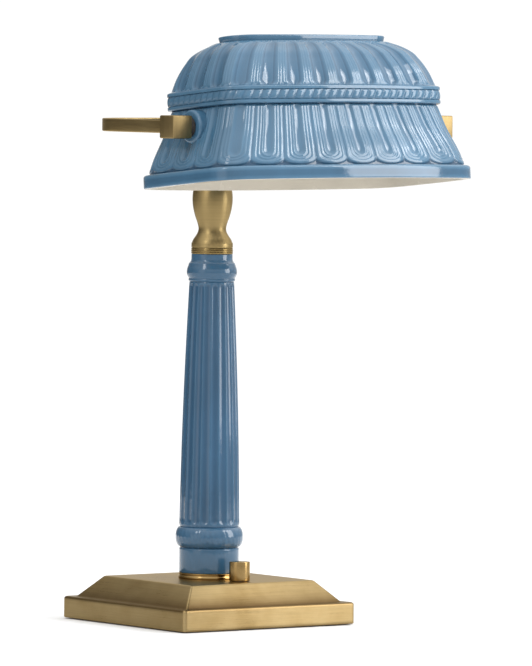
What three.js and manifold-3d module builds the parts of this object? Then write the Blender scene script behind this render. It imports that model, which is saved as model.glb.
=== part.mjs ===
// Banker desk lamp: square brass base, fluted ceramic column, brass yoke and a tilting ceramic shade.
// Millimetres, +Z up. The origin is the centre of the felt's underside; the front of the lamp faces -Y.

import * as THREE from 'three';
import { mergeVertices } from 'three/addons/utils/BufferGeometryUtils.js';
import Module from 'manifold-3d';

const wasm = await Module();
wasm.setup();

// ---------------------------------------------------------------- driving dimensions

const GAP = 0.3; // clearance between pieces that touch on the real lamp

// Base
const BASE_HALF = 77.4; // a nominal 6 in square, 155 mm over the lower block
const BASE_BLOCK_TOP = 16.4; // top of the upright lower block
const BASE_BLOCK_EDGE = 2.4; // radius of the block's upper edge
const BASE_LEDGE = 6.6; // width of the ledge around the sloped faces
const BASE_TOP_HALF = 55.4;
const BASE_TOP = 32;
const BASE_WALL = 3;
const BASE_CORNER = 2.5;
const BASE_RIM_Z = 0.4; // the brass ends just above the table and hides the felt
const FELT_THICK = 1.5;
const PLATE_THICK = 1.6;
const BASE_SCREW_PITCH = 61; // base screws from the centre, along X and along Y
const BASE_SCREW_R = 1.7;
const BASE_SCREW_HEAD_R = 3;

// Column and neck, all turned about the Z axis
const ROD_R = 5;
const ROD_BORE_R = 3.6;
const FOOT_RING_R = 22.4;
const FOOT_RING_TOP = 36.2;
const COLUMN_BOTTOM = FOOT_RING_TOP + 0.1;
const COLUMN_TOP = 271.3;
const COLUMN_BORE_R = 8;
const SHAFT_BOTTOM = 71.6;
const SHAFT_TOP = 250.6;
const SHAFT_R_BOTTOM = 22.2;
const SHAFT_R_TOP = 16.5;
const SHAFT_SWELL = 0.8; // entasis at mid height
const FLUTE_COUNT = 20;
const FLUTE_STEPS = 3;
const FLUTE_DEPTH = 0.8;
const FERRULE_TOP = 275.8;
const NECK_BOTTOM = FERRULE_TOP + 0.1;
const NECK_TOP = 358.5;

// Yoke and pivots
const PIVOT_Y = -117;
const PIVOT_Z = 366.9;
const BLOCK_X = 117.6; // centre of a pivot block
const BLOCK_SIDE = 16.5;
const STRAP_HIGH = 9.4;
const STRAP_THICK = 4;
const YOKE_CORNER_R = 42;
const HUB_WIDE = 20;
const HUB_DEEP = 15;
const PIN_R = 2.4;
const PIN_HOLE_R = 2.8;

// Shade: rounded-rectangle outlines stacked along the shade's own upright axis, from the pivot axis.
// A row is [height, half width along X, half depth along Y, corner radius].
const SHADE_TILT_DEG = -5.2; // the front edge is raised at rest
const SHADE_SHIFT_Y = 3; // the pivots are a little in front of the middle of the shade
const LOBES = 24; // gadroon lobes round the skirt and the same number of flutes on the dome
const LOBE_STEPS = 4;
const LOBE_DEPTH = 1;
const FRONT_BOW_R = 420; // the long sides bow outwards
const END_BOW_R = 600; // the short sides bow less
const RIM = [-41.3, -31.1];
const BAND = [13.9, 26.8];
const SKIRT_ROWS = [
  [-31.1, 112.7, 67.7, 23.8],
  [-19.7, 108.5, 63.7, 22],
  [-4, 101.6, 57.1, 19],
  [12.4, 96, 51.8, 16],
];
const DOME_ROWS = [
  [28, 95.3, 51.2, 17],
  [38.4, 91.9, 47.6, 18],
  [46.8, 87.9, 43.2, 19],
  [53, 83.9, 38.7, 20],
  [57.2, 78.6, 32.8, 20],
  [60.8, 72, 25.4, 19],
];
const PLATEAU = { bottom: 61, top: 65.5, a: 69.3, b: 22.8, corner: 18 };
const INSIDE_ROWS = [
  [-41.3, 111.2, 66.2, 21.5],
  [-16, 101.2, 56.6, 17],
  [10, 91.8, 47.6, 13],
  [28, 90, 46, 13],
  [44.5, 83.6, 39, 14],
  [56.5, 71, 25, 15],
];
const BOSS_R = 12.3;
const BOSS_FACE_X = 105.2;
const BOSS_INNER_X = 88;

// Fittings inside the shade
const BRACKET_WIDE = 14;
const BRACKET_THICK = 1.5;
const BRACKET_HIGH = 28;
const SOCKET_R = 15.5;
const SOCKET_X = [-64, -24];
const BULB_R = 16;
const BULB_TIP_X = 62;

// Dimmer
const KNOB_Y = -38.5;
const KNOB_R = 7.6;
const KNOB_BOTTOM = BASE_TOP + 0.4;
const KNOB_TOP = 46.6;

// ---------------------------------------------------------------- materials

const finish = (color, roughness, metalness) => new THREE.MeshStandardMaterial({ color, roughness, metalness });

const blueGlaze = finish('#6f8db0', 0.22, 0);
const agedBrass = finish('#9c7f4a', 0.38, 1);
const steel = finish('#9a9ca0', 0.4, 1);
const castIron = finish('#4a4b4d', 0.6, 1);
const felt = finish('#26262a', 0.95, 0);
const blackPlastic = finish('#1d1d1f', 0.5, 0);
const fibre = finish('#2b2421', 0.7, 0);
const porcelain = finish('#e9e6dd', 0.3, 0);
const bulbGlass = finish('#f3efe4', 0.15, 0);

// ---------------------------------------------------------------- geometry helpers

// Joins shared corners, drops empty triangles and turns the faces outwards.
function solid(geometry) {
  const bare = geometry.clone();
  bare.deleteAttribute('normal');
  bare.deleteAttribute('uv');
  const merged = mergeVertices(bare, 1e-4);
  const at = merged.attributes.position;
  const corner = [0, 1, 2].map(() => new THREE.Vector3());
  const kept = [];
  let volume = 0;
  for (let i = 0; i < merged.index.count; i += 3) {
    const [a, b, c] = [0, 1, 2].map((k) => merged.index.getX(i + k));
    if (a === b || b === c || c === a) continue;
    kept.push(a, b, c);
    [a, b, c].forEach((index, k) => corner[k].fromBufferAttribute(at, index));
    volume += corner[0].dot(corner[1].clone().cross(corner[2]));
  }
  if (volume < 0) kept.reverse();
  merged.setIndex(kept);
  merged.computeVertexNormals();
  return merged;
}

function toManifold(geometry) {
  const source = solid(geometry);
  const vertProperties = new Float32Array(source.attributes.position.array);
  const triVerts = new Uint32Array(source.index.array);
  return new wasm.Manifold(new wasm.Mesh({ numProp: 3, vertProperties, triVerts }));
}

function fromManifold(manifold) {
  const data = manifold.getMesh();
  const geometry = new THREE.BufferGeometry();
  geometry.setAttribute('position', new THREE.BufferAttribute(new Float32Array(data.vertProperties), 3));
  geometry.setIndex(new THREE.BufferAttribute(new Uint32Array(data.triVerts), 1));
  return solid(geometry);
}

function cut(geometry, ...tools) {
  const rest = tools.reduce((left, tool) => left.subtract(toManifold(tool)), toManifold(geometry));
  return fromManifold(rest);
}

function join(geometry, ...others) {
  const whole = others.reduce((left, other) => left.add(toManifold(other)), toManifold(geometry));
  return fromManifold(whole);
}

// A solid turned about Z from [radius, height] pairs. The profile closes on the axis.
function turned(profile, segments = 28) {
  const points = profile.map(([r, z]) => new THREE.Vector2(r, z));
  const first = profile[0];
  const last = profile[profile.length - 1];
  points.unshift(new THREE.Vector2(0, first[1]));
  points.push(new THREE.Vector2(0, last[1]));
  const geometry = new THREE.LatheGeometry(points, segments);
  return solid(geometry.rotateX(Math.PI / 2));
}

// A ring turned about Z: the profile runs round the ring's section and closes on itself.
function turnedRing(profile, segments = 28) {
  const points = [...profile, profile[0]].map(([r, z]) => new THREE.Vector2(r, z));
  return solid(new THREE.LatheGeometry(points, segments).rotateX(Math.PI / 2));
}

function washer(innerR, outerR, z0, z1, segments = 20) {
  return turnedRing([[innerR, z0], [outerR, z0], [outerR, z1], [innerR, z1]], segments);
}

function rod(radius, z0, z1, segments = 20) {
  return turned([[radius, z0], [radius, z1]], segments);
}

function hexNut(acrossFlats, boreR, z0, z1) {
  const prism = turned([[acrossFlats / Math.sqrt(3), z0], [acrossFlats / Math.sqrt(3), z1]], 6);
  return cut(prism, rod(boreR, z0 - 1, z1 + 1));
}

// A box from its two opposite corners.
function block([x0, y0, z0], [x1, y1, z1]) {
  const geometry = new THREE.BoxGeometry(x1 - x0, y1 - y0, z1 - z0);
  return geometry.translate((x0 + x1) / 2, (y0 + y1) / 2, (z0 + z1) / 2);
}

// Turns a shape made along +Z so that it lies along +X or -X.
const alongX = (geometry, side = 1) => geometry.rotateY((side * Math.PI) / 2);

// Skins a stack of closed outlines that all have the same number of points, and caps both ends.
function loft(outlines) {
  const count = outlines[0].length;
  const positions = outlines.flat().flatMap((p) => [p.x, p.y, p.z]);
  const index = [];
  for (let row = 0; row < outlines.length - 1; row += 1) {
    for (let i = 0; i < count; i += 1) {
      const a = row * count + i;
      const b = row * count + ((i + 1) % count);
      index.push(a, b, b + count, a, b + count, a + count);
    }
  }
  [outlines[0], outlines[outlines.length - 1]].forEach((outline, end) => {
    const centre = outline.reduce((sum, p) => sum.add(p), new THREE.Vector3()).divideScalar(count);
    const hub = positions.length / 3;
    positions.push(centre.x, centre.y, centre.z);
    const start = end === 0 ? 0 : (outlines.length - 1) * count;
    for (let i = 0; i < count; i += 1) {
      const a = start + i;
      const b = start + ((i + 1) % count);
      index.push(...(end === 0 ? [hub, b, a] : [hub, a, b]));
    }
  });
  const geometry = new THREE.BufferGeometry();
  geometry.setAttribute('position', new THREE.Float32BufferAttribute(positions, 3));
  geometry.setIndex(index);
  return solid(geometry);
}

// ---------------------------------------------------------------- outlines

// A square with rounded corners at one height.
function roundedSquare(half, radius, z, steps = 2) {
  const points = [];
  for (let corner = 0; corner < 4; corner += 1) {
    const start = (corner * Math.PI) / 2;
    const centre = new THREE.Vector2(half - radius, half - radius).rotateAround(new THREE.Vector2(), start);
    for (let i = 0; i <= steps; i += 1) {
      const angle = start + ((i / steps) * Math.PI) / 2;
      points.push(new THREE.Vector3(centre.x + radius * Math.cos(angle), centre.y + radius * Math.sin(angle), z));
    }
  }
  return points;
}

// One quarter of the shade's plan is three arcs that run into each other: the bowed front, the corner
// and the bowed end. Returns the point and its normal at a share of the quarter, from the front's centre.
function quarterPlan(a, b, corner) {
  const frontR = FRONT_BOW_R;
  const endR = END_BOW_R;
  let centre = { x: a - corner, y: b - corner };
  for (let i = 0; i < 6; i += 1) {
    const y = b - frontR + Math.sqrt((frontR - corner) ** 2 - centre.x ** 2);
    const x = a - endR + Math.sqrt((endR - corner) ** 2 - y ** 2);
    centre = { x, y };
  }
  const frontTurn = Math.asin(centre.x / (frontR - corner));
  const endTurn = Math.asin(centre.y / (endR - corner));
  const cornerTurn = Math.PI / 2 - frontTurn - endTurn;
  const lengths = [frontR * frontTurn, corner * cornerTurn, endR * endTurn];
  const total = lengths[0] + lengths[1] + lengths[2];
  return (share) => {
    let s = share * total;
    if (s <= lengths[0]) {
      const turn = s / frontR;
      return { x: frontR * Math.sin(turn), y: b - frontR + frontR * Math.cos(turn), turn };
    }
    s -= lengths[0];
    if (s <= lengths[1]) {
      const turn = frontTurn + s / corner;
      return { x: centre.x + corner * Math.sin(turn), y: centre.y + corner * Math.cos(turn), turn };
    }
    s -= lengths[1];
    const left = endTurn - s / endR;
    return { x: a - endR + endR * Math.cos(left), y: endR * Math.sin(left), turn: Math.PI / 2 - left };
  };
}

// The whole outline at one height. groove is how far the joints between lobes are drawn in.
function shadeOutline([z, a, b, corner], groove = 0) {
  const plan = quarterPlan(a, b, corner);
  const perQuarter = (LOBES / 4) * LOBE_STEPS;
  const points = [];
  for (let i = 0; i < 4 * perQuarter; i += 1) {
    const quarter = Math.floor(i / perQuarter);
    const along = (i % perQuarter) / perQuarter;
    const share = quarter % 2 === 0 ? along : 1 - along;
    const { x, y, turn } = plan(share);
    const inset = i % LOBE_STEPS === LOBE_STEPS / 2 ? groove : 0;
    const px = x - inset * Math.sin(turn);
    const py = y - inset * Math.cos(turn);
    const signX = quarter < 2 ? 1 : -1;
    const signY = quarter === 0 || quarter === 3 ? -1 : 1;
    points.push(new THREE.Vector3(signX * px, signY * py + SHADE_SHIFT_Y, z));
  }
  return points;
}

// ---------------------------------------------------------------- base

function baseScrewSpots() {
  return [[1, 1], [-1, 1], [-1, -1], [1, -1]].map(([x, y]) => [x * BASE_SCREW_PITCH, y * BASE_SCREW_PITCH]);
}

function feltPad() {
  const half = BASE_HALF - BASE_WALL - 2 * GAP;
  return loft([roundedSquare(half, 1.5, 0), roundedSquare(half, 1.5, FELT_THICK)]);
}

function bottomPlate() {
  const z0 = FELT_THICK + 0.1;
  const z1 = z0 + PLATE_THICK;
  const plate = loft([roundedSquare(BASE_HALF - 4, 3, z0), roundedSquare(BASE_HALF - 4, 3, z1)]);
  const countersink = [
    [BASE_SCREW_HEAD_R + 1.4, z0 - 1],
    [BASE_SCREW_R + GAP, z0 + BASE_SCREW_HEAD_R - BASE_SCREW_R + 0.1],
    [BASE_SCREW_R + GAP, z1 + 1],
  ];
  const holes = baseScrewSpots().map(([x, y]) => turned(countersink, 12).translate(x, y, 0));
  return cut(plate, ...holes);
}

function baseShell() {
  const slopeHalf = BASE_HALF - BASE_LEDGE;
  const rimZ = BASE_RIM_Z;
  const wall = BASE_WALL;
  const edge = BASE_BLOCK_EDGE;
  const shell = loft([
    roundedSquare(BASE_TOP_HALF - wall, 1, BASE_TOP - wall),
    roundedSquare(slopeHalf - wall, 1, BASE_BLOCK_TOP - wall),
    roundedSquare(BASE_HALF - wall, 1.5, BASE_BLOCK_TOP - wall),
    roundedSquare(BASE_HALF - wall, 1.5, rimZ),
    roundedSquare(BASE_HALF - 0.8, BASE_CORNER, rimZ),
    roundedSquare(BASE_HALF, BASE_CORNER, rimZ + 0.8),
    roundedSquare(BASE_HALF, BASE_CORNER, BASE_BLOCK_TOP - edge),
    roundedSquare(BASE_HALF - 0.3 * edge, BASE_CORNER, BASE_BLOCK_TOP - 0.3 * edge),
    roundedSquare(BASE_HALF - edge, BASE_CORNER, BASE_BLOCK_TOP),
    roundedSquare(slopeHalf + 0.4, 1.5, BASE_BLOCK_TOP - 0.3),
    roundedSquare(slopeHalf - 0.9, 1.5, BASE_BLOCK_TOP + 0.7),
    roundedSquare(BASE_TOP_HALF + 0.4, 1.2, BASE_TOP - 0.4),
    roundedSquare(BASE_TOP_HALF - 0.4, 1, BASE_TOP),
  ]);
  const bossBottom = FELT_THICK + PLATE_THICK + 0.3;
  const posts = baseScrewSpots().map(([x, y]) => rod(5, bossBottom, 20, 12).translate(x, y, 0));
  const pilots = baseScrewSpots().map(([x, y]) => rod(BASE_SCREW_R + 0.2, bossBottom - 1, 13, 12).translate(x, y, 0));
  const rodHole = rod(ROD_R + 0.3, 20, 40);
  const shaftHole = rod(3.9, 20, 40).translate(0, KNOB_Y, 0);
  return cut(join(shell, ...posts), ...pilots, rodHole, shaftHole);
}

// A flat-headed screw: its countersunk head lies in the plate, flush with the plate's underside.
function baseScrew([x, y]) {
  const headBottom = FELT_THICK + 0.15;
  const profile = [
    [BASE_SCREW_HEAD_R, headBottom],
    [BASE_SCREW_R, headBottom + BASE_SCREW_HEAD_R - BASE_SCREW_R],
    [BASE_SCREW_R, 12.5],
  ];
  return turned(profile, 12).translate(x, y, 0);
}

function counterweight() {
  const z0 = FELT_THICK + PLATE_THICK + 0.4;
  const plate = loft([roundedSquare(55, 4, z0), roundedSquare(55, 4, z0 + 8.6)]);
  return cut(plate, rod(13, z0 - 1, 30));
}

// ---------------------------------------------------------------- column

function footRing() {
  const top = FOOT_RING_TOP;
  const bottom = BASE_TOP + 0.05;
  const outer = [[ROD_R + 0.4, bottom], [FOOT_RING_R - 0.2, bottom], [FOOT_RING_R, bottom + 0.5]];
  const upper = [[FOOT_RING_R, top - 0.6], [FOOT_RING_R - 0.6, top], [ROD_R + 0.4, top]];
  return turnedRing([...outer, ...upper], 40);
}

// A half-round bead from z0 to z1, between two radii of its own.
function bead(rEdge, rCrest, z0, z1, steps = 4) {
  const rows = [];
  for (let i = 0; i <= steps; i += 1) {
    const angle = (i / steps) * Math.PI;
    rows.push([rEdge + (rCrest - rEdge) * Math.sin(angle), (z0 + z1) / 2 - ((z1 - z0) / 2) * Math.cos(angle), 0]);
  }
  return rows;
}

function shaftRadius(z) {
  const t = (z - SHAFT_BOTTOM) / (SHAFT_TOP - SHAFT_BOTTOM);
  return SHAFT_R_BOTTOM + (SHAFT_R_TOP - SHAFT_R_BOTTOM) * t + SHAFT_SWELL * Math.sin(Math.PI * t);
}

// Rows are [radius, height, share of the flute depth].
function columnRows() {
  const shaft = [[0, 0], [0.04, 1], [0.35, 1], [0.65, 1], [0.96, 1], [1, 0]];
  const shaftRows = shaft.map(([t, share]) => {
    const z = SHAFT_BOTTOM + t * (SHAFT_TOP - SHAFT_BOTTOM);
    return [shaftRadius(z), z, share];
  });
  return [
    [21.8, COLUMN_BOTTOM, 0],
    [22.1, COLUMN_BOTTOM + 0.6, 0],
    [22.1, 54, 0],
    ...bead(22.1, 25, 54.8, 70.6),
    ...shaftRows,
    ...bead(15.8, 18.6, 251.4, 266),
    [15.2, 266.8, 0],
    [15.2, COLUMN_TOP, 0],
  ];
}

function column() {
  const around = FLUTE_COUNT * FLUTE_STEPS;
  const ring = ([r, z, share]) =>
    Array.from({ length: around }, (_, i) => {
      const inset = i % FLUTE_STEPS === 0 ? 0 : FLUTE_DEPTH * share;
      const radius = r - inset;
      const angle = (i / around) * 2 * Math.PI;
      return new THREE.Vector3(radius * Math.cos(angle), radius * Math.sin(angle), z);
    });
  return cut(loft(columnRows().map(ring)), rod(COLUMN_BORE_R, COLUMN_BOTTOM - 1, COLUMN_TOP + 1));
}

function ferrule() {
  const z0 = COLUMN_TOP + 0.1;
  const z1 = FERRULE_TOP;
  return turnedRing([
    [ROD_R + 0.4, z0],
    [15.2, z0],
    [15.5, z0 + 0.5],
    [15.5, z1 - 0.6],
    [15, z1],
    [ROD_R + 0.4, z1],
  ], 36);
}

function neck() {
  const outside = [
    [14.8, NECK_BOTTOM],
    [15.3, NECK_BOTTOM + 0.5],
    [15.3, 279.6],
    [14.4, 281.7],
    [12.3, 284.4],
    [10.7, 287.2],
    [10.15, 289.9],
    [10.8, 293.3],
    [12.6, 298.6],
    [14.2, 305],
    [14.85, 312],
    [14.2, 318.5],
    [11.6, 325],
    [8.4, 330.4],
    [7.4, 334],
    [9.6, 335.2],
    [9.6, 338.2],
    [6.9, 340],
    [6.3, 345],
    [6.9, 350.5],
    [9.6, 354.5],
    [9.9, 356],
    [9.9, NECK_TOP],
  ];
  const rodSocket = rod(ROD_R + 0.3, NECK_BOTTOM - 1, 303);
  const wireWay = rod(ROD_BORE_R - 0.6, 300, 345);
  const capThread = rod(2.6, 340, NECK_TOP + 1);
  return cut(turned(outside, 28), rodSocket, wireWay, capThread);
}

// The threaded tube that clamps base, column and neck together, and carries the wire.
function centreRod() {
  return washer(ROD_BORE_R, ROD_R, 17, 301, 28);
}

// ---------------------------------------------------------------- yoke

// Plan outline of the U-shaped strap: two arms, two round corners and the straight back.
function yokePlan() {
  const outerX = BLOCK_X + STRAP_THICK / 2;
  const innerX = BLOCK_X - STRAP_THICK / 2;
  const backOuter = STRAP_THICK / 2;
  const backInner = -STRAP_THICK / 2;
  const outerR = YOKE_CORNER_R + STRAP_THICK / 2;
  const innerR = YOKE_CORNER_R - STRAP_THICK / 2;
  const armEnd = PIVOT_Y + BLOCK_SIDE / 2 - 5;
  const shape = new THREE.Shape();
  shape.moveTo(outerX, armEnd);
  shape.lineTo(outerX, backOuter - outerR);
  shape.absarc(outerX - outerR, backOuter - outerR, outerR, 0, Math.PI / 2, false);
  shape.lineTo(-outerX + outerR, backOuter);
  shape.absarc(-outerX + outerR, backOuter - outerR, outerR, Math.PI / 2, Math.PI, false);
  shape.lineTo(-outerX, armEnd);
  shape.lineTo(-innerX, armEnd);
  shape.lineTo(-innerX, backInner - innerR);
  shape.absarc(-innerX + innerR, backInner - innerR, innerR, Math.PI, Math.PI / 2, true);
  shape.lineTo(innerX - innerR, backInner);
  shape.absarc(innerX - innerR, backInner - innerR, innerR, Math.PI / 2, 0, true);
  shape.lineTo(innerX, armEnd);
  shape.closePath();
  return shape;
}

function yoke() {
  const strap = new THREE.ExtrudeGeometry(yokePlan(), { depth: STRAP_HIGH, bevelEnabled: false, curveSegments: 10 });
  strap.translate(0, 0, PIVOT_Z - STRAP_HIGH / 2);
  const screwHole = rod(2.3, -5, 5, 20).rotateX(Math.PI / 2).translate(0, 0, PIVOT_Z);
  return cut(strap, screwHole);
}

// The hub stands on the neck; the strap lies in a slot that is open at the front.
function yokeHub() {
  const halfX = HUB_WIDE / 2;
  const halfY = HUB_DEEP / 2;
  const bottom = NECK_TOP + 0.1;
  const top = PIVOT_Z + BLOCK_SIDE / 2;
  const body = block([-halfX, -halfY, bottom], [halfX, halfY, top]);
  const slotHalf = STRAP_HIGH / 2 + GAP;
  const slot = block(
    [-halfX - 1, -halfY - 1, PIVOT_Z - slotHalf],
    [halfX + 1, STRAP_THICK / 2 + GAP, PIVOT_Z + slotHalf],
  );
  const strapScrewHole = rod(2.2, -20, 0, 20).rotateX(Math.PI / 2).translate(0, -12, PIVOT_Z);
  const threadWay = rod(2.2, -6.6, 6.6, 20).rotateX(Math.PI / 2).translate(0, 0, PIVOT_Z);
  const capHole = rod(2.6, bottom - 1, top + 1, 20);
  return cut(body, slot, strapScrewHole, threadWay, capHole);
}

function strapScrew() {
  const headFace = -STRAP_THICK / 2 - 0.2;
  const shank = rod(1.8, -6, 2.1, 20);
  const head = turned([[3.2, 2.2], [4, 2.7], [4, 3.6], [3, 4.4]], 24);
  const whole = join(shank, head.translate(0, 0, -0.2));
  return whole.rotateX(Math.PI / 2).translate(0, headFace + 2.2, PIVOT_Z);
}

function capNut() {
  const seat = PIVOT_Z + BLOCK_SIDE / 2 + 0.1;
  return turned([[5.2, seat], [5.6, seat + 0.6], [5.6, seat + 2], [4.6, seat + 4], [2.6, seat + 5.6]], 24);
}

function pivotBlock(side) {
  const half = BLOCK_SIDE / 2;
  const chamfer = 0.5;
  const body = new THREE.ExtrudeGeometry(
    new THREE.Shape([
      new THREE.Vector2(-half + chamfer, -half + chamfer),
      new THREE.Vector2(half - chamfer, -half + chamfer),
      new THREE.Vector2(half - chamfer, half - chamfer),
      new THREE.Vector2(-half + chamfer, half - chamfer),
    ]),
    { depth: BLOCK_SIDE - 2 * chamfer, bevelThickness: chamfer, bevelSize: chamfer, bevelSegments: 1 },
  );
  body.translate(side * BLOCK_X, PIVOT_Y, PIVOT_Z - half + chamfer);
  const strapHalfX = STRAP_THICK / 2 + GAP;
  const strapHalfZ = STRAP_HIGH / 2 + GAP;
  const strapEnd = PIVOT_Y + half - 5 - GAP;
  const pocket = block(
    [side * BLOCK_X - strapHalfX, strapEnd, PIVOT_Z - strapHalfZ],
    [side * BLOCK_X + strapHalfX, PIVOT_Y + half + 1, PIVOT_Z + strapHalfZ],
  );
  const pinHole = alongX(rod(PIN_HOLE_R, BLOCK_X - half - 1, BLOCK_X + 2), side);
  return cut(body, pocket, pinHole.translate(0, PIVOT_Y, PIVOT_Z));
}

// The shade turns on this pin. Its head is inside the shade and its end is held in the pivot block.
function pivotPin(side) {
  const head = turned([[4.6, 80.6], [5.4, 81.2], [5.4, 83.4], [4.6, 83.9]], 20);
  const whole = join(head, rod(PIN_R, 83, BLOCK_X + 1.4));
  return alongX(whole, side).translate(0, PIVOT_Y, PIVOT_Z);
}

function springWasher(side) {
  return alongX(washer(PIN_HOLE_R, 5, 84.2, 85.6), side).translate(0, PIVOT_Y, PIVOT_Z);
}

function frictionWasher(side) {
  const inner = BOSS_FACE_X + GAP;
  const outer = BLOCK_X - BLOCK_SIDE / 2 - GAP;
  return alongX(washer(PIN_HOLE_R, 7.5, inner, outer), side).translate(0, PIVOT_Y, PIVOT_Z);
}

// ---------------------------------------------------------------- shade, in its own frame

function shade() {
  const [rimBottom, rimTop] = RIM;
  const [bandBottom, bandTop] = BAND;
  const inside = [...INSIDE_ROWS].reverse().map((row) => shadeOutline(row));
  const rim = [
    [rimBottom, 116.2, 71.2, 26.2],
    [rimTop - 1.8, 116.2, 71.2, 26.2],
    [rimTop, 114.5, 69.5, 24.8],
  ].map((row) => shadeOutline(row));
  const skirt = SKIRT_ROWS.map((row) => shadeOutline(row, LOBE_DEPTH));
  const band = [
    [bandBottom, 97.4, 53.6, 17.4],
    [bandBottom + 1.2, 98.2, 54.4, 18],
    [bandTop - 1.2, 98.2, 54.4, 18],
    [bandTop, 96.8, 53, 17.4],
  ].map((row) => shadeOutline(row));
  const dome = DOME_ROWS.map((row) => shadeOutline(row, LOBE_DEPTH));
  const { bottom, top, a, b, corner } = PLATEAU;
  const plateau = [
    [bottom, a, b, corner],
    [top, a, b, corner],
  ].map((row) => shadeOutline(row));
  const shell = loft([...inside, ...rim, ...skirt, ...band, ...dome, ...plateau]);
  const bossProfile = [
    [BOSS_R, BOSS_INNER_X],
    [BOSS_R, BOSS_FACE_X - 1],
    [BOSS_R - 1, BOSS_FACE_X],
  ];
  const bosses = [1, -1].map((side) => alongX(turned(bossProfile, 24), side));
  const pinWay = alongX(rod(PIN_HOLE_R, -140, 140));
  return cut(join(shell, ...bosses), pinWay);
}

// A steel strap bent into a bridge under the dome, with an ear on each pivot pin.
function socketBracket() {
  const outerX = BOSS_INNER_X - GAP;
  const innerX = outerX - BRACKET_THICK;
  const earBottom = -8.5;
  const shape = new THREE.Shape([
    new THREE.Vector2(-outerX, earBottom),
    new THREE.Vector2(-innerX, earBottom),
    new THREE.Vector2(-innerX, BRACKET_HIGH - BRACKET_THICK),
    new THREE.Vector2(innerX, BRACKET_HIGH - BRACKET_THICK),
    new THREE.Vector2(innerX, earBottom),
    new THREE.Vector2(outerX, earBottom),
    new THREE.Vector2(outerX, BRACKET_HIGH),
    new THREE.Vector2(-outerX, BRACKET_HIGH),
  ]);
  const strap = new THREE.ExtrudeGeometry(shape, { depth: BRACKET_WIDE, bevelEnabled: false });
  strap.rotateX(Math.PI / 2).translate(0, BRACKET_WIDE / 2, 0);
  const screwHole = rod(1.9, 20, 35, 16).translate(-74, 0, 0);
  return cut(strap, alongX(rod(PIN_HOLE_R + 0.1, -95, 95)), screwHole);
}

// An angle piece: its foot is screwed under the bridge and its leg holds the socket's nipple.
function socketHolder() {
  const top = BRACKET_HIGH - BRACKET_THICK - GAP;
  const half = 6.5;
  const shape = new THREE.Shape([
    new THREE.Vector2(-80, top),
    new THREE.Vector2(-80, top - BRACKET_THICK),
    new THREE.Vector2(-69.5, top - BRACKET_THICK),
    new THREE.Vector2(-69.5, -9),
    new THREE.Vector2(-68, -9),
    new THREE.Vector2(-68, top),
  ]);
  const angle = new THREE.ExtrudeGeometry(shape, { depth: 2 * half, bevelEnabled: false });
  angle.rotateX(Math.PI / 2).translate(0, half, 0);
  const nippleHole = alongX(rod(5.3, -75, -60));
  return cut(angle, nippleHole, rod(1.9, 20, 35, 16).translate(-74, 0, 0));
}

function holderScrew() {
  const shank = rod(1.6, 21.5, 28.4, 16);
  const head = turned([[3.4, 28.3], [3.4, 29.2], [2.2, 30]], 20);
  return join(shank, head).translate(-74, 0, 0);
}

function socketNipple() {
  return alongX(washer(3.4, 5, -77, -60.5, 24));
}

function nippleNut() {
  return alongX(hexNut(14, 5.3, -73.8, -69.8));
}

function lampSocket() {
  const [back, mouth] = SOCKET_X;
  const outside = turned([[9, back], [SOCKET_R - 1, back + 4], [SOCKET_R, back + 8], [SOCKET_R, mouth]], 28);
  const well = rod(13.6, back + 12, mouth + 1, 24);
  const nippleWay = rod(5.3, back - 1, back + 13);
  return alongX(cut(outside, well, nippleWay));
}

function bulbCap() {
  return alongX(turned([[5, -51.5], [8, -49.5], [13.1, -46], [13.1, -25]], 24));
}

function bulbEnvelope() {
  const tip = BULB_TIP_X;
  const profile = [[12.6, -24.7], [13, -20], [BULB_R, -10], [BULB_R, tip - 16]];
  for (let i = 1; i <= 4; i += 1) {
    const angle = (i / 5) * (Math.PI / 2);
    profile.push([BULB_R * Math.cos(angle), tip - 16 + BULB_R * Math.sin(angle)]);
  }
  return alongX(turned(profile, 24));
}

// ---------------------------------------------------------------- dimmer

function dimmerKnob() {
  const outside = [
    [KNOB_R - 0.3, KNOB_BOTTOM],
    [KNOB_R, KNOB_BOTTOM + 0.4],
    [KNOB_R, KNOB_TOP - 0.7],
    [KNOB_R - 0.7, KNOB_TOP],
  ];
  const recess = rod(6.4, KNOB_BOTTOM - 1, KNOB_BOTTOM + 4.4, 20);
  const shaftWay = rod(3.05, KNOB_BOTTOM, KNOB_TOP - 4, 24);
  return cut(turned(outside, 32), recess, shaftWay).translate(0, KNOB_Y, 0);
}

function dimmerShaft() {
  return rod(2.75, 30, KNOB_TOP - 4.3, 24).translate(0, KNOB_Y, 0);
}

function dimmerBody() {
  const top = BASE_TOP - BASE_WALL - 0.2;
  const body = block([-11, -9, top - 13], [11, 9, top]);
  const bushing = rod(3.6, top - 1, 35.6, 28);
  const shaftWell = rod(3.05, 28.5, 36, 24);
  return cut(join(body, bushing), shaftWell).translate(0, KNOB_Y, 0);
}

function dimmerNut() {
  return hexNut(10, 3.8, BASE_TOP + 0.2, BASE_TOP + 2.6).translate(0, KNOB_Y, 0);
}

// ---------------------------------------------------------------- assembly

const lamp = new THREE.Group();

function place(parent, name, geometry, material) {
  const mesh = new THREE.Mesh(solid(geometry), material);
  mesh.name = name;
  parent.add(mesh);
}

place(lamp, 'felt_pad', feltPad(), felt);
place(lamp, 'bottom_plate', bottomPlate(), steel);
place(lamp, 'base_shell', baseShell(), agedBrass);
place(lamp, 'counterweight', counterweight(), castIron);
baseScrewSpots().forEach((spot, i) => place(lamp, `base_screw_${i + 1}`, baseScrew(spot), steel));

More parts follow.
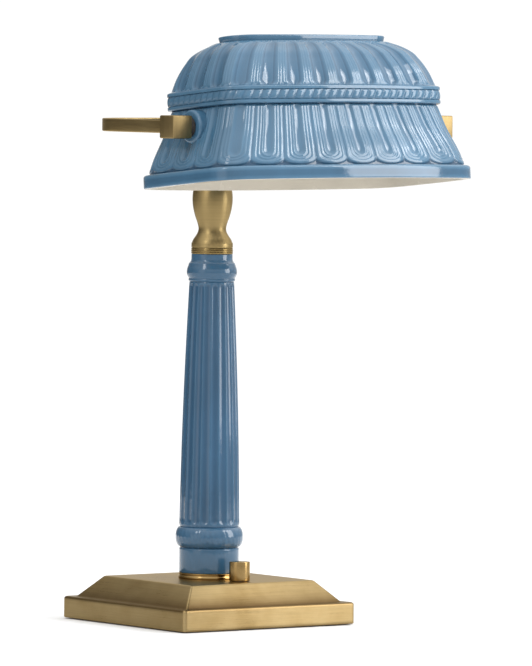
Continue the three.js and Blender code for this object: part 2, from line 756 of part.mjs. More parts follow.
place(lamp, 'foot_ring', footRing(), agedBrass);
place(lamp, 'column', column(), blueGlaze);
place(lamp, 'ferrule', ferrule(), agedBrass);
place(lamp, 'neck', neck(), agedBrass);
place(lamp, 'centre_rod', centreRod(), steel);
place(lamp, 'rod_washer', washer(ROD_R + 0.3, 12, 26.7, 28.3), steel);
place(lamp, 'rod_nut', hexNut(17, ROD_R + 0.3, 20.5, 26.5), steel);

place(lamp, 'yoke', yoke(), agedBrass);
place(lamp, 'yoke_hub', yokeHub(), agedBrass);
place(lamp, 'strap_screw', strapScrew(), steel);
place(lamp, 'cap_nut', capNut(), agedBrass);

[['left', -1], ['right', 1]].forEach(([word, side]) => {
  place(lamp, `pivot_block_${word}`, pivotBlock(side), agedBrass);
  place(lamp, `pivot_pin_${word}`, pivotPin(side), steel);
  place(lamp, `spring_washer_${word}`, springWasher(side), steel);
  place(lamp, `friction_washer_${word}`, frictionWasher(side), fibre);
});

const shadeFrame = new THREE.Group();
shadeFrame.position.set(0, PIVOT_Y, PIVOT_Z);
shadeFrame.rotation.x = THREE.MathUtils.degToRad(SHADE_TILT_DEG);
lamp.add(shadeFrame);
place(shadeFrame, 'shade', shade(), blueGlaze);
place(shadeFrame, 'socket_bracket', socketBracket(), steel);
place(shadeFrame, 'socket_holder', socketHolder(), steel);
place(shadeFrame, 'holder_screw', holderScrew(), steel);
place(shadeFrame, 'socket_nipple', socketNipple(), steel);
place(shadeFrame, 'nipple_nut', nippleNut(), steel);
place(shadeFrame, 'lamp_socket', lampSocket(), porcelain);
place(shadeFrame, 'bulb_cap', bulbCap(), steel);
place(shadeFrame, 'bulb_glass', bulbEnvelope(), bulbGlass);

place(lamp, 'dimmer_body', dimmerBody(), blackPlastic);
place(lamp, 'dimmer_nut', dimmerNut(), steel);
place(lamp, 'dimmer_shaft', dimmerShaft(), steel);
place(lamp, 'dimmer_knob', dimmerKnob(), agedBrass);

export default lamp;
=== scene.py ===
"""The looks of a banker desk lamp: glazed shade and column, brushed brass base, neck and yoke."""

import math

import bmesh
import bpy
import numpy as np
from mathutils import Matrix, Vector


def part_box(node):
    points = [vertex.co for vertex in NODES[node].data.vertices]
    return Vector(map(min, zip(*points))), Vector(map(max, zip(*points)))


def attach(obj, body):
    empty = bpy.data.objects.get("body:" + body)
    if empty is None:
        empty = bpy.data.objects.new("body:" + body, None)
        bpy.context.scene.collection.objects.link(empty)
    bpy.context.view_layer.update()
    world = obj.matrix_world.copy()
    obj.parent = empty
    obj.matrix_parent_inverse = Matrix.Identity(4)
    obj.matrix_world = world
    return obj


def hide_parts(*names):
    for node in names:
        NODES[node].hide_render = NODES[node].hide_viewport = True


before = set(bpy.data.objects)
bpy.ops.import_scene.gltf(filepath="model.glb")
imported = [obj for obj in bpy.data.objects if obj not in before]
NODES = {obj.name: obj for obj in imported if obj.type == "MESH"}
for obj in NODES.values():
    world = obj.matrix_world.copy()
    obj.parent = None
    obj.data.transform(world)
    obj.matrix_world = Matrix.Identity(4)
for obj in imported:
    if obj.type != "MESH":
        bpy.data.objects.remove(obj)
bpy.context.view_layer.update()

MM = 0.001

# ---- what the frame says

PIN_LOW, PIN_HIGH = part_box("pivot_pin_right")
PIVOT = Vector((0, (PIN_LOW.y + PIN_HIGH.y) / 2, (PIN_LOW.z + PIN_HIGH.z) / 2))  # midway between the pins
SHADE_TILT = math.radians(-5.2)  # the shade's front is raised at rest
TO_SHADE = Matrix.Rotation(-SHADE_TILT, 4, "X") @ Matrix.Translation(-PIVOT)
FROM_SHADE = TO_SHADE.inverted()


def node_points(node):
    """A CAD node's corners, in metres."""
    mesh = NODES[node].data
    points = np.zeros(len(mesh.vertices) * 3)
    mesh.vertices.foreach_get("co", points)
    return points.reshape(-1, 3)


def box_in_shade(node):
    """A CAD node's box along the tilted shade's own axes, in millimetres from the pivot axis."""
    turn = np.array(TO_SHADE)
    points = node_points(node) @ turn[:3, :3].T + turn[:3, 3]
    return points.min(0) / MM, points.max(0) / MM


def box_mm(node):
    """A CAD node's box, in millimetres."""
    low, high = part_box(node)
    return np.array(low) / MM, np.array(high) / MM


def upright(node):
    """The half width, bottom and top of a CAD node that stands round the Z axis, in millimetres."""
    low, high = box_mm(node)
    return high[0], low[2], high[2]


# ---- curves and meshes


def through(points, at):
    """Smooth values at the given places, through rows of [place, value, value...]."""
    points = np.array(points, float)
    x, y = points[:, 0], points[:, 1:]
    slope = np.gradient(y, x, axis=0)
    k = np.clip(np.searchsorted(x, at, side="right") - 1, 0, len(x) - 2)
    width = (x[k + 1] - x[k])[:, None]
    t = ((at - x[k]) / width[:, 0])[:, None]
    a, b = y[k], y[k + 1]
    da, db = slope[k] * width, slope[k + 1] * width
    return a + t * da + t**2 * (3 * (b - a) - 2 * da - db) + t**3 * (2 * (a - b) + da + db)


FILLET_SHARE = 0.45  # of a straight stretch, at most, goes to the fillet at either end


def fillet(points, radius, steps=4):
    """Rounds the inner corners of an open outline, and leaves some of every straight stretch."""
    points = [np.array(point, float) for point in points]
    out = [points[0]]
    for before, corner, after in zip(points, points[1:], points[2:]):
        to_before, to_after = before - corner, after - corner
        near = min(radius, FILLET_SHARE * np.linalg.norm(to_before))
        far = min(radius, FILLET_SHARE * np.linalg.norm(to_after))
        start = corner + to_before / np.linalg.norm(to_before) * near
        end = corner + to_after / np.linalg.norm(to_after) * far
        for t in np.linspace(0, 1, steps + 1):
            out.append((1 - t) ** 2 * start + 2 * t * (1 - t) * corner + t**2 * end)
    out.append(points[-1])
    return out


def finish_piece(name, mesh, materials, body, slot, *replaced, sharp=35):
    """Links a mesh as a piece that rides on a body and stands for CAD nodes. Its slot is not used."""
    mesh.update()
    mesh.validate()
    mesh.shade_smooth()
    mesh.set_sharp_from_angle(angle=math.radians(sharp))
    piece = bpy.data.objects.new(name, mesh)
    bpy.context.scene.collection.objects.link(piece)
    for each in materials:
        mesh.materials.append(each)
    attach(piece, body)
    if replaced:
        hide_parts(*replaced)
    return piece


def rows_mesh(name, rows, closed_section=False):
    """Skins rows of points, in metres. Each row is a closed ring; the ends are capped, or joined."""
    rows = np.asarray(rows, float)
    count, around = rows.shape[:2]
    points = rows.reshape(-1, 3)
    grid = np.arange(count * around).reshape(count, around)
    last = count if closed_section else count - 1
    lower = grid[np.arange(last)]
    upper = grid[(np.arange(last) + 1) % count]
    quads = np.stack([lower, np.roll(lower, -1, 1), np.roll(upper, -1, 1), upper], -1).reshape(-1, 4)
    faces = quads.tolist()
    points = points.tolist()
    if not closed_section:
        for row, flip in ((grid[0], True), (grid[-1], False)):
            hub = len(points)
            points.append(np.mean([points[i] for i in row], axis=0).tolist())
            following = np.roll(row, -1)
            for a, b in zip(row.tolist(), following.tolist()):
                faces.append([hub, b, a] if flip else [hub, a, b])
    mesh = bpy.data.meshes.new(name)
    mesh.from_pydata(points, [], faces)
    work = bmesh.new()
    work.from_mesh(mesh)
    bmesh.ops.recalc_face_normals(work, faces=work.faces)
    work.to_mesh(mesh)
    work.free()
    return mesh


def turned_rows(profile, segments):
    """Rings of points turned about Z from [radius, height] pairs, in metres."""
    angle = np.arange(segments) * 2 * math.pi / segments
    profile = np.asarray(profile, float) * MM
    ring = np.stack([np.cos(angle), np.sin(angle)], -1)
    flat = profile[:, 0, None, None] * ring[None]
    high = np.broadcast_to(profile[:, 1, None, None], flat.shape[:2] + (1,))
    return np.concatenate([flat, high], -1)


def turned(name, profile, material, body, slot, *replaced, segments=96, place=None, ring=False):
    """A turned piece. A ring's profile closes on itself; any other ends on the axis."""
    mesh = rows_mesh(name, turned_rows(profile, segments), closed_section=ring)
    if place is not None:
        mesh.transform(place)
    return finish_piece(name, mesh, [material], body, slot, *replaced)


def along_x(side, origin):
    """Lays a piece that was turned about Z along +X or -X, from an origin."""
    return Matrix.Translation(origin) @ Matrix.Rotation(side * math.pi / 2, 4, "Y")


CORNERS = ((1, 1), (-1, 1), (-1, -1), (1, -1))


def rounded_rectangle(half_x, half_y, radius, steps):
    """Points round a rectangle with rounded corners."""
    points = []
    for corner, (side_x, side_y) in enumerate(CORNERS):
        for i in range(steps + 1):
            angle = (corner + i / steps) * math.pi / 2
            x = side_x * (half_x - radius) + radius * math.cos(angle)
            y = side_y * (half_y - radius) + radius * math.sin(angle)
            points.append((x, y))
    return points


def rounded_square(half, radius, z):
    """A square ring with rounded corners, in millimetres."""
    return [(x, y, z) for x, y in rounded_rectangle(half, half, radius, 10)]


def refined(name, node, material, body, slot, bevel, segments):
    """A CAD piece with its sharp edges rounded."""
    mesh = NODES[node].data.copy()
    mesh.materials.clear()
    work = bmesh.new()
    work.from_mesh(mesh)
    bmesh.ops.remove_doubles(work, verts=work.verts, dist=1e-6)
    flat, sharp = math.radians(1), math.radians(40)
    bmesh.ops.dissolve_limit(
        work, angle_limit=flat, use_dissolve_boundaries=False, verts=work.verts, edges=work.edges
    )
    edges = [edge for edge in work.edges if len(edge.link_faces) == 2 and edge.calc_face_angle(0) > sharp]
    width = bevel * MM
    bmesh.ops.bevel(
        work, geom=edges, offset=width, segments=segments, profile=0.5, affect="EDGES", clamp_overlap=True
    )
    work.to_mesh(mesh)
    work.free()
    return finish_piece(name, mesh, [material], body, slot, node, sharp=30)


# ---- materials


class Tree:
    """A node tree, with short calls to add and link nodes."""

    def __init__(self, tree):
        self.nodes = tree.nodes
        self.link = tree.links.new

    def add(self, kind, **settings):
        """A node, with its inputs or its own settings given by name."""
        node = self.nodes.new(kind)
        for key, value in settings.items():
            socket = key.replace("_", " ")
            if socket in node.inputs:
                node.inputs[socket].default_value = value
            else:
                setattr(node, key, value)
        return node

    def span(self, value, low, high, top=1.0, rise="LINEAR"):
        """A value's place between low and high, from 0 to a given top."""
        node = self.add("ShaderNodeMapRange", From_Min=low, From_Max=high, To_Max=top)
        node.interpolation_type = rise
        self.link(value, node.inputs["Value"])
        return node.outputs["Result"]


class Look(Tree):
    """A material's node tree, with short calls for the nodes that the finishes use."""

    def __init__(self, name):
        self.material = bpy.data.materials.new(name)
        self.material.use_nodes = True
        super().__init__(self.material.node_tree)
        self.shader = self.nodes["Principled BSDF"]

    def noise(self, scale, detail, stretch=(1, 1, 1), roughness=0.55):
        """Noise on the piece's own coordinates, stretched."""
        where = self.add("ShaderNodeTexCoord")
        mapping = self.add("ShaderNodeMapping", Scale=stretch)
        self.link(where.outputs["Object"], mapping.inputs["Vector"])
        node = self.add("ShaderNodeTexNoise", Scale=scale, Detail=detail, Roughness=roughness)
        self.link(mapping.outputs["Vector"], node.inputs["Vector"])
        return node.outputs["Fac"]

    def relief(self, low, high):
        """How far the surface stands out in millimetres, or a tone given in its place (in places painted
        shade and highlight), as 0 at low and 1 at high.
        """
        return self.span(self.add("ShaderNodeAttribute", attribute_name="relief").outputs["Fac"], low, high)

    def ramp(self, source, *stops):
        """Colours or greys at places from 0 to 1."""
        node = self.add("ShaderNodeValToRGB")
        band = node.color_ramp
        while len(band.elements) < len(stops):
            band.elements.new(0.5)
        for element, (place, colour) in zip(band.elements, stops):
            element.position = place
            grey = isinstance(colour, (int, float))
            element.color = (colour, colour, colour, 1) if grey else (*colour, 1)
        self.link(source, node.inputs["Fac"])
        return node.outputs["Color"]

    def mix(self, share, a, b, blend="MIX"):
        """Two colours, each a node's output or a plain value, mixed or multiplied."""
        node = self.add("ShaderNodeMix", data_type="RGBA", blend_type=blend)
        for value, socket in ((share, node.inputs[0]), (a, node.inputs[6]), (b, node.inputs[7])):
            if isinstance(value, bpy.types.NodeSocket):
                self.link(value, socket)
            elif isinstance(value, (int, float)):
                socket.default_value = value
            else:
                socket.default_value = (*value, 1)
        return node.outputs[2]

    def bump(self, height, strength, distance, onto=None):
        node = self.add("ShaderNodeBump", Strength=strength, Distance=distance)
        self.link(height, node.inputs["Height"])
        if onto is not None:
            self.link(onto, node.inputs["Normal"])
        return node.outputs["Normal"]

    def set(self, **values):
        """Sets or links the shader's inputs, and gives the material."""
        for key, value in values.items():
            socket = self.shader.inputs[key.replace("_", " ")]
            if isinstance(value, bpy.types.NodeSocket):
                self.link(value, socket)
            else:
                socket.default_value = value
        return self.material


def glaze(name, thin, body, pooled_and_shadow, relief):
    """Coloured gloss glaze: paler where it runs thin over edges, darker where it pools in hollows, and darker
    where a given tone paints shade.
    """
    look = Look(name)
    depth_and_shadow = look.ramp(look.relief(*relief), (0.0, pooled_and_shadow), (0.55, body), (1.0, thin))
    cloud = look.ramp(look.noise(16, 3), (0.35, 0.88), (0.65, 1.06))
    uneven = look.mix(1.0, depth_and_shadow, cloud, "MULTIPLY")
    streak = look.ramp(look.noise(60, 2, (1, 1, 0.25)), (0.3, 0.94), (0.7, 1.04))
    colour = look.mix(1.0, uneven, streak, "MULTIPLY")
    rough = look.ramp(look.noise(45, 3), (0.3, 0.04), (0.7, 0.08))
    wave = look.bump(look.noise(90, 2), 0.12, 0.0006)
    peel = look.bump(look.noise(700, 2), 0.05, 0.0002, wave)
    look.set(Base_Color=colour, Roughness=rough, Normal=peel, IOR=1.46)
    return look.set(Coat_Weight=0.2, Coat_Roughness=0.03)


def clouded(name, dark, light, rough, scales, bump):
    """A plain pale surface with faint clouds: the glaze inside the shade, and the bulb's frosted glass."""
    look = Look(name)
    cloud_scale, rough_scale, bump_scale = scales
    smooth, dulled = rough
    cloud = look.ramp(look.noise(cloud_scale, 3), dark, light)
    roughness = look.ramp(look.noise(rough_scale, 3), (0.3, smooth), (0.7, dulled))
    wave = look.bump(look.noise(bump_scale, 2), *bump)
    return look.set(Base_Color=cloud, Roughness=roughness, Normal=wave, IOR=1.5)


BRASS_WEAR_AND_SHADOW = [
    (0.0, (0.36, 0.30, 0.26)),  # patina in the hollows, and painted shade in the creases and along the block's foot
    (0.5, (1.0, 1.0, 1.0)),
    (0.8, (1.22, 1.25, 1.32)),  # rubbed off the edges, and a painted highlight along the corners
]
BRASS_EDGE_TINT = (1.0, 0.90, 0.72, 1)


def brass(name, stretch, light, dark, rough=(0.24, 0.38), grain=0.25, turning=0.0):
    """Antique brass, brushed along the direction in which the grain noise isn't squeezed.

    The patina stays in the hollows and is rubbed off the edges. On the base the same colours also paint
    shade in its creases and along its foot, and a highlight on its corners. Turning stretches the shine
    along the axis of a turned piece, as fine tool marks do.
    """
    look = Look(name)
    lines = look.noise(1.0, 6, stretch, 0.7)
    patina = look.noise(28, 5)
    mottle = look.ramp(patina, (0.3, dark), (0.62, light))
    streaks = look.ramp(lines, (0.25, 0.80), (0.75, 1.08))
    brushed = look.mix(1.0, mottle, streaks, "MULTIPLY")
    wear_and_shadow = look.ramp(look.relief(-1.0, 1.0), *BRASS_WEAR_AND_SHADOW)
    colour = look.mix(1.0, brushed, wear_and_shadow, "MULTIPLY")
    smooth, dulled = rough
    base_rough = look.ramp(lines, (0.3, smooth), (0.7, dulled))
    worn = look.mix(look.ramp(patina, (0.35, 0.0), (0.7, 0.35)), base_rough, (dulled, dulled, dulled))
    scratches = look.bump(lines, grain, 0.0002)
    look.set(Base_Color=colour, Metallic=1.0, Roughness=worn, Normal=scratches, Specular_Tint=BRASS_EDGE_TINT)
    return look.set(Anisotropic=turning, Anisotropic_Rotation=0.25 if turning else 0.0)


def metal(name, colour, rough, stretch=(900, 60, 60)):
    """Plain brushed or plated metal."""
    look = Look(name)
    lines = look.noise(1.0, 4, stretch)
    tone = look.ramp(lines, (0.3, tuple(part * 0.85 for part in colour)), (0.7, colour))
    roughness = look.ramp(lines, (0.3, rough * 0.8), (0.7, rough * 1.25))
    scratches = look.bump(lines, 0.1, 0.0001)
    return look.set(Base_Color=tone, Metallic=1.0, Roughness=roughness, Normal=scratches)


def dull(name, dark, light, scale, rough, bump, sheen=0.0):
    """Felt, cast iron, fibre, plastic and other dull stuffs, by the size of their grain."""
    look = Look(name)
    grain = look.noise(scale, 5)
    tone = look.ramp(grain, (0.3, dark), (0.7, light))
    roughness = look.ramp(grain, (0.3, rough * 0.9), (0.7, min(1.0, rough * 1.08)))
    normal = look.bump(grain, bump, 0.0004)
    return look.set(Base_Color=tone, Roughness=roughness, Normal=normal, Sheen_Weight=sheen)


SHADE_GLAZE = glaze(
    "shade_glaze",
    thin=(0.076, 0.164, 0.250),
    body=(0.047, 0.122, 0.203),
    pooled_and_shadow=(0.020, 0.061, 0.114),
    relief=(-1.4, 0.4),
)
# The column wears the shade's glaze in darker colours: painted shade, as the column stands under the shade.
SHADOWED_COLUMN_GLAZE = glaze(
    "shadowed_column_glaze",
    thin=(0.038, 0.104, 0.180),
    body=(0.032, 0.091, 0.163),
    pooled_and_shadow=(0.024, 0.072, 0.135),
    relief=(-0.9, 0.3),
)
INNER_GLAZE = clouded(
    "inner_glaze",
    dark=(0.35, (0.47, 0.43, 0.35)),
    light=(0.65, (0.53, 0.485, 0.40)),
    rough=(0.18, 0.28),
    scales=(20, 50, 90),
    bump=(0.15, 0.0006),
)
BULB_GLASS = clouded(
    "frosted_glass",
    dark=(0.3, (0.86, 0.85, 0.82)),
    light=(0.7, (0.93, 0.92, 0.90)),
    rough=(0.22, 0.34),
    scales=(40, 300, 900),
    bump=(0.1, 0.0001),
)
BASE_BRASS = brass("base_brass", (25, 25, 1600), (0.335, 0.246, 0.118), (0.25, 0.172, 0.072), turning=0.6)
# The flat top's brass is the base brass made darker and warmer, painted shade on the top face, and brushed
# along X.
SHADOWED_TOP_BRASS = brass("shadowed_top_brass", (1100, 18, 18), (0.31, 0.212, 0.078), (0.23, 0.150, 0.050))
TURNED_BRASS = brass(
    "turned_brass", (8, 8, 1500), (0.32, 0.235, 0.105), (0.29, 0.21, 0.090),
    rough=(0.34, 0.40), grain=0.04, turning=0.7,
)
FERRULE_BRASS = brass(
    "ferrule_brass", (8, 8, 1500), (0.25, 0.18, 0.076), (0.21, 0.146, 0.058),
    rough=(0.2, 0.26), grain=0.05, turning=0.8,
)
RING_BRASS = brass(
    "ring_brass", (60, 60, 900), (0.325, 0.218, 0.090), (0.30, 0.196, 0.078),
    rough=(0.15, 0.20), grain=0.03, turning=0.8,
)
YOKE_BRASS = brass(
    "yoke_brass", (40, 40, 900), (0.34, 0.250, 0.116), (0.30, 0.214, 0.094),
    rough=(0.30, 0.38), grain=0.12,
)
CUBE_BRASS = brass(
    "cube_brass", (900, 900, 40), (0.275, 0.20, 0.092), (0.24, 0.172, 0.076),
    rough=(0.34, 0.42), grain=0.15,
)
STEEL = metal("brushed_steel", (0.52, 0.52, 0.53), 0.32)
NICKEL = metal("nickel_plate", (0.66, 0.64, 0.60), 0.2, (60, 60, 900))
IRON = dull("cast_iron", (0.03, 0.03, 0.032), (0.09, 0.09, 0.095), 350, 0.6, 0.6)
FELT = dull("dark_felt", (0.012, 0.013, 0.014), (0.04, 0.042, 0.045), 1800, 0.95, 0.8, 0.4)
FIBRE = dull("fibre_washer", (0.018, 0.014, 0.011), (0.045, 0.036, 0.03), 900, 0.75, 0.3)
PORCELAIN = dull("porcelain", (0.74, 0.71, 0.64), (0.84, 0.82, 0.76), 60, 0.28, 0.1)
PLASTIC = dull("black_plastic", (0.012, 0.012, 0.013), (0.03, 0.03, 0.032), 1200, 0.5, 0.15)

# ---- shade

LOBES = 24  # gadroon lobes round the skirt, and the same number of flutes on the dome
COLUMNS_PER_LOBE = 40
AROUND = LOBES * COLUMNS_PER_LOBE  # points round one outline
FRONT_BOW_R = 420.0  # the long sides bow outwards
END_BOW_R = 600.0  # the short sides bow less
SHADE_LOW, SHADE_HIGH = box_in_shade("shade")
RIM_A = SHADE_HIGH[0]  # half width at the rim
RIM_B = (SHADE_HIGH[1] - SHADE_LOW[1]) / 2  # half depth at the rim
SHADE_Y = (SHADE_HIGH[1] + SHADE_LOW[1]) / 2
RIM_Z = SHADE_LOW[2]
TOP_Z = SHADE_HIGH[2]
RIM_EDGE = 0.8  # radius of the rim's lower edge
SHOULDER_Z = 7.8  # where the rim's upper edge starts
SHOULDER = 2.0  # radius of that edge

# An outline is [inset from the rim along X, along Y, corner radius]. A row is [height above the
# rim's bottom, then its outline]. The joints' rows end with a tone for the glaze's colour, in millimetres
# of relief: pooled glaze in the crease, and under the band painted shadow as well.
RIM = [0, 0, 26.2]
SKIRT_JOINT = [9.9, 3.6, 3.6, 23.4, -0.6]
SKIRT = [[10.2, 3.5, 3.5, 23.8], [21.6, 7.7, 7.5, 22], [37.3, 14.6, 14.1, 19], [53.7, 20.2, 19.4, 16]]
DOME = [
    [69.3, 20.9, 20.0, 17], [79.7, 24.3, 23.6, 18], [88.1, 28.3, 28.0, 19], [94.3, 32.3, 32.5, 20],
    [98.5, 37.6, 38.4, 20], [102.1, 44.2, 45.8, 19],
]
INSIDE = [
    [0, 5.0, 5.0, 21.5], [25.3, 15.0, 14.6, 17], [51.3, 24.4, 23.6, 13], [69.3, 26.2, 25.2, 13],
    [85.8, 32.6, 32.2, 14], [97.8, 45.2, 46.2, 15],
]
BAND_Z = (55.2, 68.1)
BAND = [18.0, 16.8, 18.0]
BAND_EDGE = 1.1  # radius of the band's two edges
# The joints' last value darkens the crease under the band: painted shadow there, with pooled glaze.
BAND_JOINTS = [[54.6, 21.0, 20.2, 15.5, -1.4], [55.0, 20.2, 19.2, 16.0, -1.4]]
ROPE_HALF = 3.4
ROPE_TWISTS = 78
ROPE_LEAN = 0.26  # how far a strand leans, in strands, from the rope's middle to its side
ROPE_SINK = 0.95  # depth of the furrows between the strands
PLATEAU = [46.9, 48.4, 18.0]
PLATEAU_EDGE = 0.9  # radius of the plateau's edge
PLATEAU_UNDERCUT = 0.9  # its wall leans in below the edge, so that it stays dark
PLATEAU_MIDDLE = [58.9, 60.4, 7.0]
BOSS_R = 12.3
BOSS_ROOT = 88.0  # the boss starts inside the wall, this far from the middle of the lamp
BOSS_FACE = 105.2
BOSS_EDGE = 2.6  # most that its edges are rounded
PIN_BORE_R = 2.8

# Tones for the glaze's colour, in millimetres of relief, where the shape alone doesn't give them: thin and
# pooled glaze, and on the rim and the boss painted shade.
# painted shade: the plain rim is darker all round
RIM_PAINTED_SHADOW = -0.8
SHOULDER_TONE = 0.1
BAND_TONE = 0.7  # times the band's own relief
CHANNEL_TONE = 0.35  # times the relief, where a channel keeps an even tone
PLATEAU_TONES = (-0.2, -0.3, -0.1, -0.4)  # foot, wall, edge and top
# painted shade: the whole boss is darker
BOSS_PAINTED_SHADOW = -0.35


def quarter_plan(a, b, corner, share):
    """Points and normals along a quarter of the plan: bowed front, corner arc, bowed end."""
    cx, cy = a - corner, b - corner
    for _ in range(6):  # until the corner's arc meets both bows smoothly
        cy = b - FRONT_BOW_R + math.sqrt((FRONT_BOW_R - corner) ** 2 - cx**2)
        cx = a - END_BOW_R + math.sqrt((END_BOW_R - corner) ** 2 - cy**2)
    front_turn = math.asin(cx / (FRONT_BOW_R - corner))
    end_turn = math.asin(cy / (END_BOW_R - corner))
    corner_turn = math.pi / 2 - front_turn - end_turn
    front_length = FRONT_BOW_R * front_turn
    corner_length = corner * corner_turn
    total = front_length + corner_length + END_BOW_R * end_turn
    run = share * total
    on_front = run <= front_length
    on_corner = ~on_front & (run <= front_length + corner_length)
    turn = np.where(on_front, run / FRONT_BOW_R, front_turn + (run - front_length) / corner)
    left = end_turn - (run - front_length - corner_length) / END_BOW_R
    turn = np.where(on_front | on_corner, turn, math.pi / 2 - left)
    sin, cos = np.sin(turn), np.cos(turn)
    x = np.where(on_front, FRONT_BOW_R * sin, cx + corner * sin)
    y = np.where(on_front, b - FRONT_BOW_R + FRONT_BOW_R * cos, cy + corner * cos)
    x = np.where(on_front | on_corner, x, a - END_BOW_R + END_BOW_R * sin)
    y = np.where(on_front | on_corner, y, END_BOW_R * cos)
    return x, y, sin, cos, total


def shade_ring(height, inset_x, inset_y, corner, push=0.0):
    """One closed outline of the shade, in its own frame in millimetres, pushed out by a relief."""
    index = np.arange(AROUND)
    per_quarter = AROUND // 4
    quarter = index // per_quarter
    along = (index % per_quarter) / per_quarter
    share = np.where(quarter % 2 == 0, along, 1 - along)
    x, y, sin, cos, total = quarter_plan(RIM_A - inset_x, RIM_B - inset_y, corner, share)
    x = (x + push * sin) * np.where(quarter < 2, 1, -1)
    y = (y + push * cos) * np.where((quarter == 0) | (quarter == 3), -1, 1)
    return np.stack([x, y + SHADE_Y, np.full(AROUND, RIM_Z + height)], -1), total


def nested(across, up, half, round_high, spine):
    """How far out a point lies among nested U shapes: 0 on the spine, 1 on the outer U, more below it."""
    low = np.abs(across) / half
    high = np.full_like(low, 1.5)
    straight = up >= (1 - low) * spine + round_high
    for _ in range(22):
        q = (low + high) / 2
        ratio = np.clip(np.abs(across) / (half * q), 0, 1)
        bottom = (1 - q) * spine + round_high * (1 - np.sqrt(1 - ratio**2))
        inside = up >= bottom
        high = np.where(inside, q, high)
        low = np.where(inside, low, q)
    return np.where(straight, np.abs(across) / half, (low + high) / 2)


CHANNEL = 0.36  # inside this share of a lobe the glaze keeps an even tone
LOBE_TOES = 14  # height over which a lobe's round end needs closer rows
# Heights of the round end of a lobe or flute, and of the spine that the nested shapes end on.
LOBE_END = (4.4, 9.5)
FLUTE_TOP_END = (5.5, 2.0)
FLUTE_LOW_END = (4.0, 1.0)

# Rows are [how far out among the nested U shapes, relief in millimetres].
SKIRT_RELIEF = [
    [0.00, -1.10], [0.14, -0.98], [0.26, -0.52], [0.34, 0.02], [0.385, 0.24], [0.44, -0.06],
    [0.52, -0.12], [0.585, 0.18], [0.64, -0.08], [0.74, -0.08], [0.80, 0.17], [0.86, 0.00],
    [0.93, -0.09], [1.00, -0.50], [1.07, -1.20], [1.20, -1.50], [1.50, -1.60],
]
DOME_RELIEF = [
    [0.00, -1.90], [0.15, -1.78], [0.35, -1.25], [0.56, -0.45], [0.66, 0.00], [0.71, 0.20],
    [0.76, -0.05], [0.81, -0.08], [0.87, 0.17], [0.93, 0.04], [1.00, -0.12], [1.20, 0.00], [1.50, 0.00],
]


def lobe_place():
    """Where each column lies in its lobe, from -0.5 to 0.5; a lobe's middle is at the front centre."""
    return (np.arange(AROUND) / COLUMNS_PER_LOBE + 0.5) % 1 - 0.5


def channel_tone(q, relief):
    """The relief that the glaze's colour follows: a channel is more even than its ridges."""
    return np.where(q < CHANNEL, relief * CHANNEL_TONE, relief)


def smooth_row(height, inset_x, inset_y, corner, depth=0.0):
    """A plain outline, with one tone all round."""
    ring, _ = shade_ring(height, inset_x, inset_y, corner)
    return ring, np.full(AROUND, depth)


def inset_row(height, outline, inset, depth=0.0):
    """A plain outline that lies a given distance inside another."""
    inset_x, inset_y, corner = outline
    return smooth_row(height, inset_x + inset, inset_y + inset, corner - inset, depth)


def inside_rows():
    """The smooth inside, from its ceiling down to the rim."""
    ceiling = INSIDE[-1][0]
    yield smooth_row(ceiling + 0.6, 60, 58, 8)
    heights = np.linspace(ceiling, 0, 22)
    for height, outline in zip(heights, through(INSIDE, heights)):
        yield smooth_row(height, *outline)


def rim_rows():
    """The plain rim with its two rounded edges and its face darkened with painted shade, and the dark joint
    above it.
    """
    for t in np.linspace(0, math.pi / 2, 5):
        yield inset_row(RIM_EDGE * (1 - math.cos(t)), RIM, RIM_EDGE * (1 - math.sin(t)))
    for height in (3.0, 6.0):
        yield smooth_row(height, *RIM, RIM_PAINTED_SHADOW)
    for t in np.linspace(0, math.pi / 2, 6):
        height = SHOULDER_Z + SHOULDER * math.sin(t)
        yield inset_row(height, RIM, SHOULDER * (1 - math.cos(t)), SHOULDER_TONE)
    yield smooth_row(*SKIRT_JOINT)


def skirt_rows():
    """The flared skirt: each lobe is a channel inside nested U-shaped ridges."""
    bottom, top = SKIRT[0][0], BAND_Z[0] - 1.2
    toes = bottom + LOBE_TOES
    heights = np.concatenate([np.linspace(bottom, toes, 30, endpoint=False), np.linspace(toes, top, 26)])
    for height, outline in zip(heights, through(SKIRT, heights)):
        _, total = shade_ring(height, *outline)
        pitch = total * 4 / LOBES
        q = nested(lobe_place() * pitch, height - bottom - 0.6, pitch / 2, *LOBE_END)
        fade = np.clip((top + 0.8 - height) / 2.5, 0.35, 1)
        relief = through(SKIRT_RELIEF, q)[:, 0] * fade
        yield shade_ring(height, *outline, relief)[0], channel_tone(q, relief)


def band_rows():
    """The joint below the band, darkened with painted shadow and pooled glaze, then the band: two plain
    fillets with a twisted rope between.
    """
    for joint in BAND_JOINTS:
        yield smooth_row(*joint)
    low, high = BAND_Z
    middle = (low + high) / 2
    turn = np.arange(AROUND) / AROUND * ROPE_TWISTS
    for height in np.linspace(low, high, 41):
        from_middle = height - middle
        from_edge = min(height - low, high - height, BAND_EDGE)
        rounding = 1 - math.sqrt(1 - (1 - from_edge / BAND_EDGE) ** 2)
        relief = np.full(AROUND, -BAND_EDGE * rounding)
        if abs(from_middle) < ROPE_HALF + 0.3:
            bulge = math.sqrt(max(0.0, 1 - (from_middle / ROPE_HALF) ** 2))
            phase = turn - from_middle / ROPE_HALF * ROPE_LEAN
            strand = np.abs(np.cos(phase * math.pi)) ** 0.55
            relief = bulge * (0.05 + ROPE_SINK * strand) - ROPE_SINK
        yield shade_ring(height, *BAND, relief)[0], relief * BAND_TONE


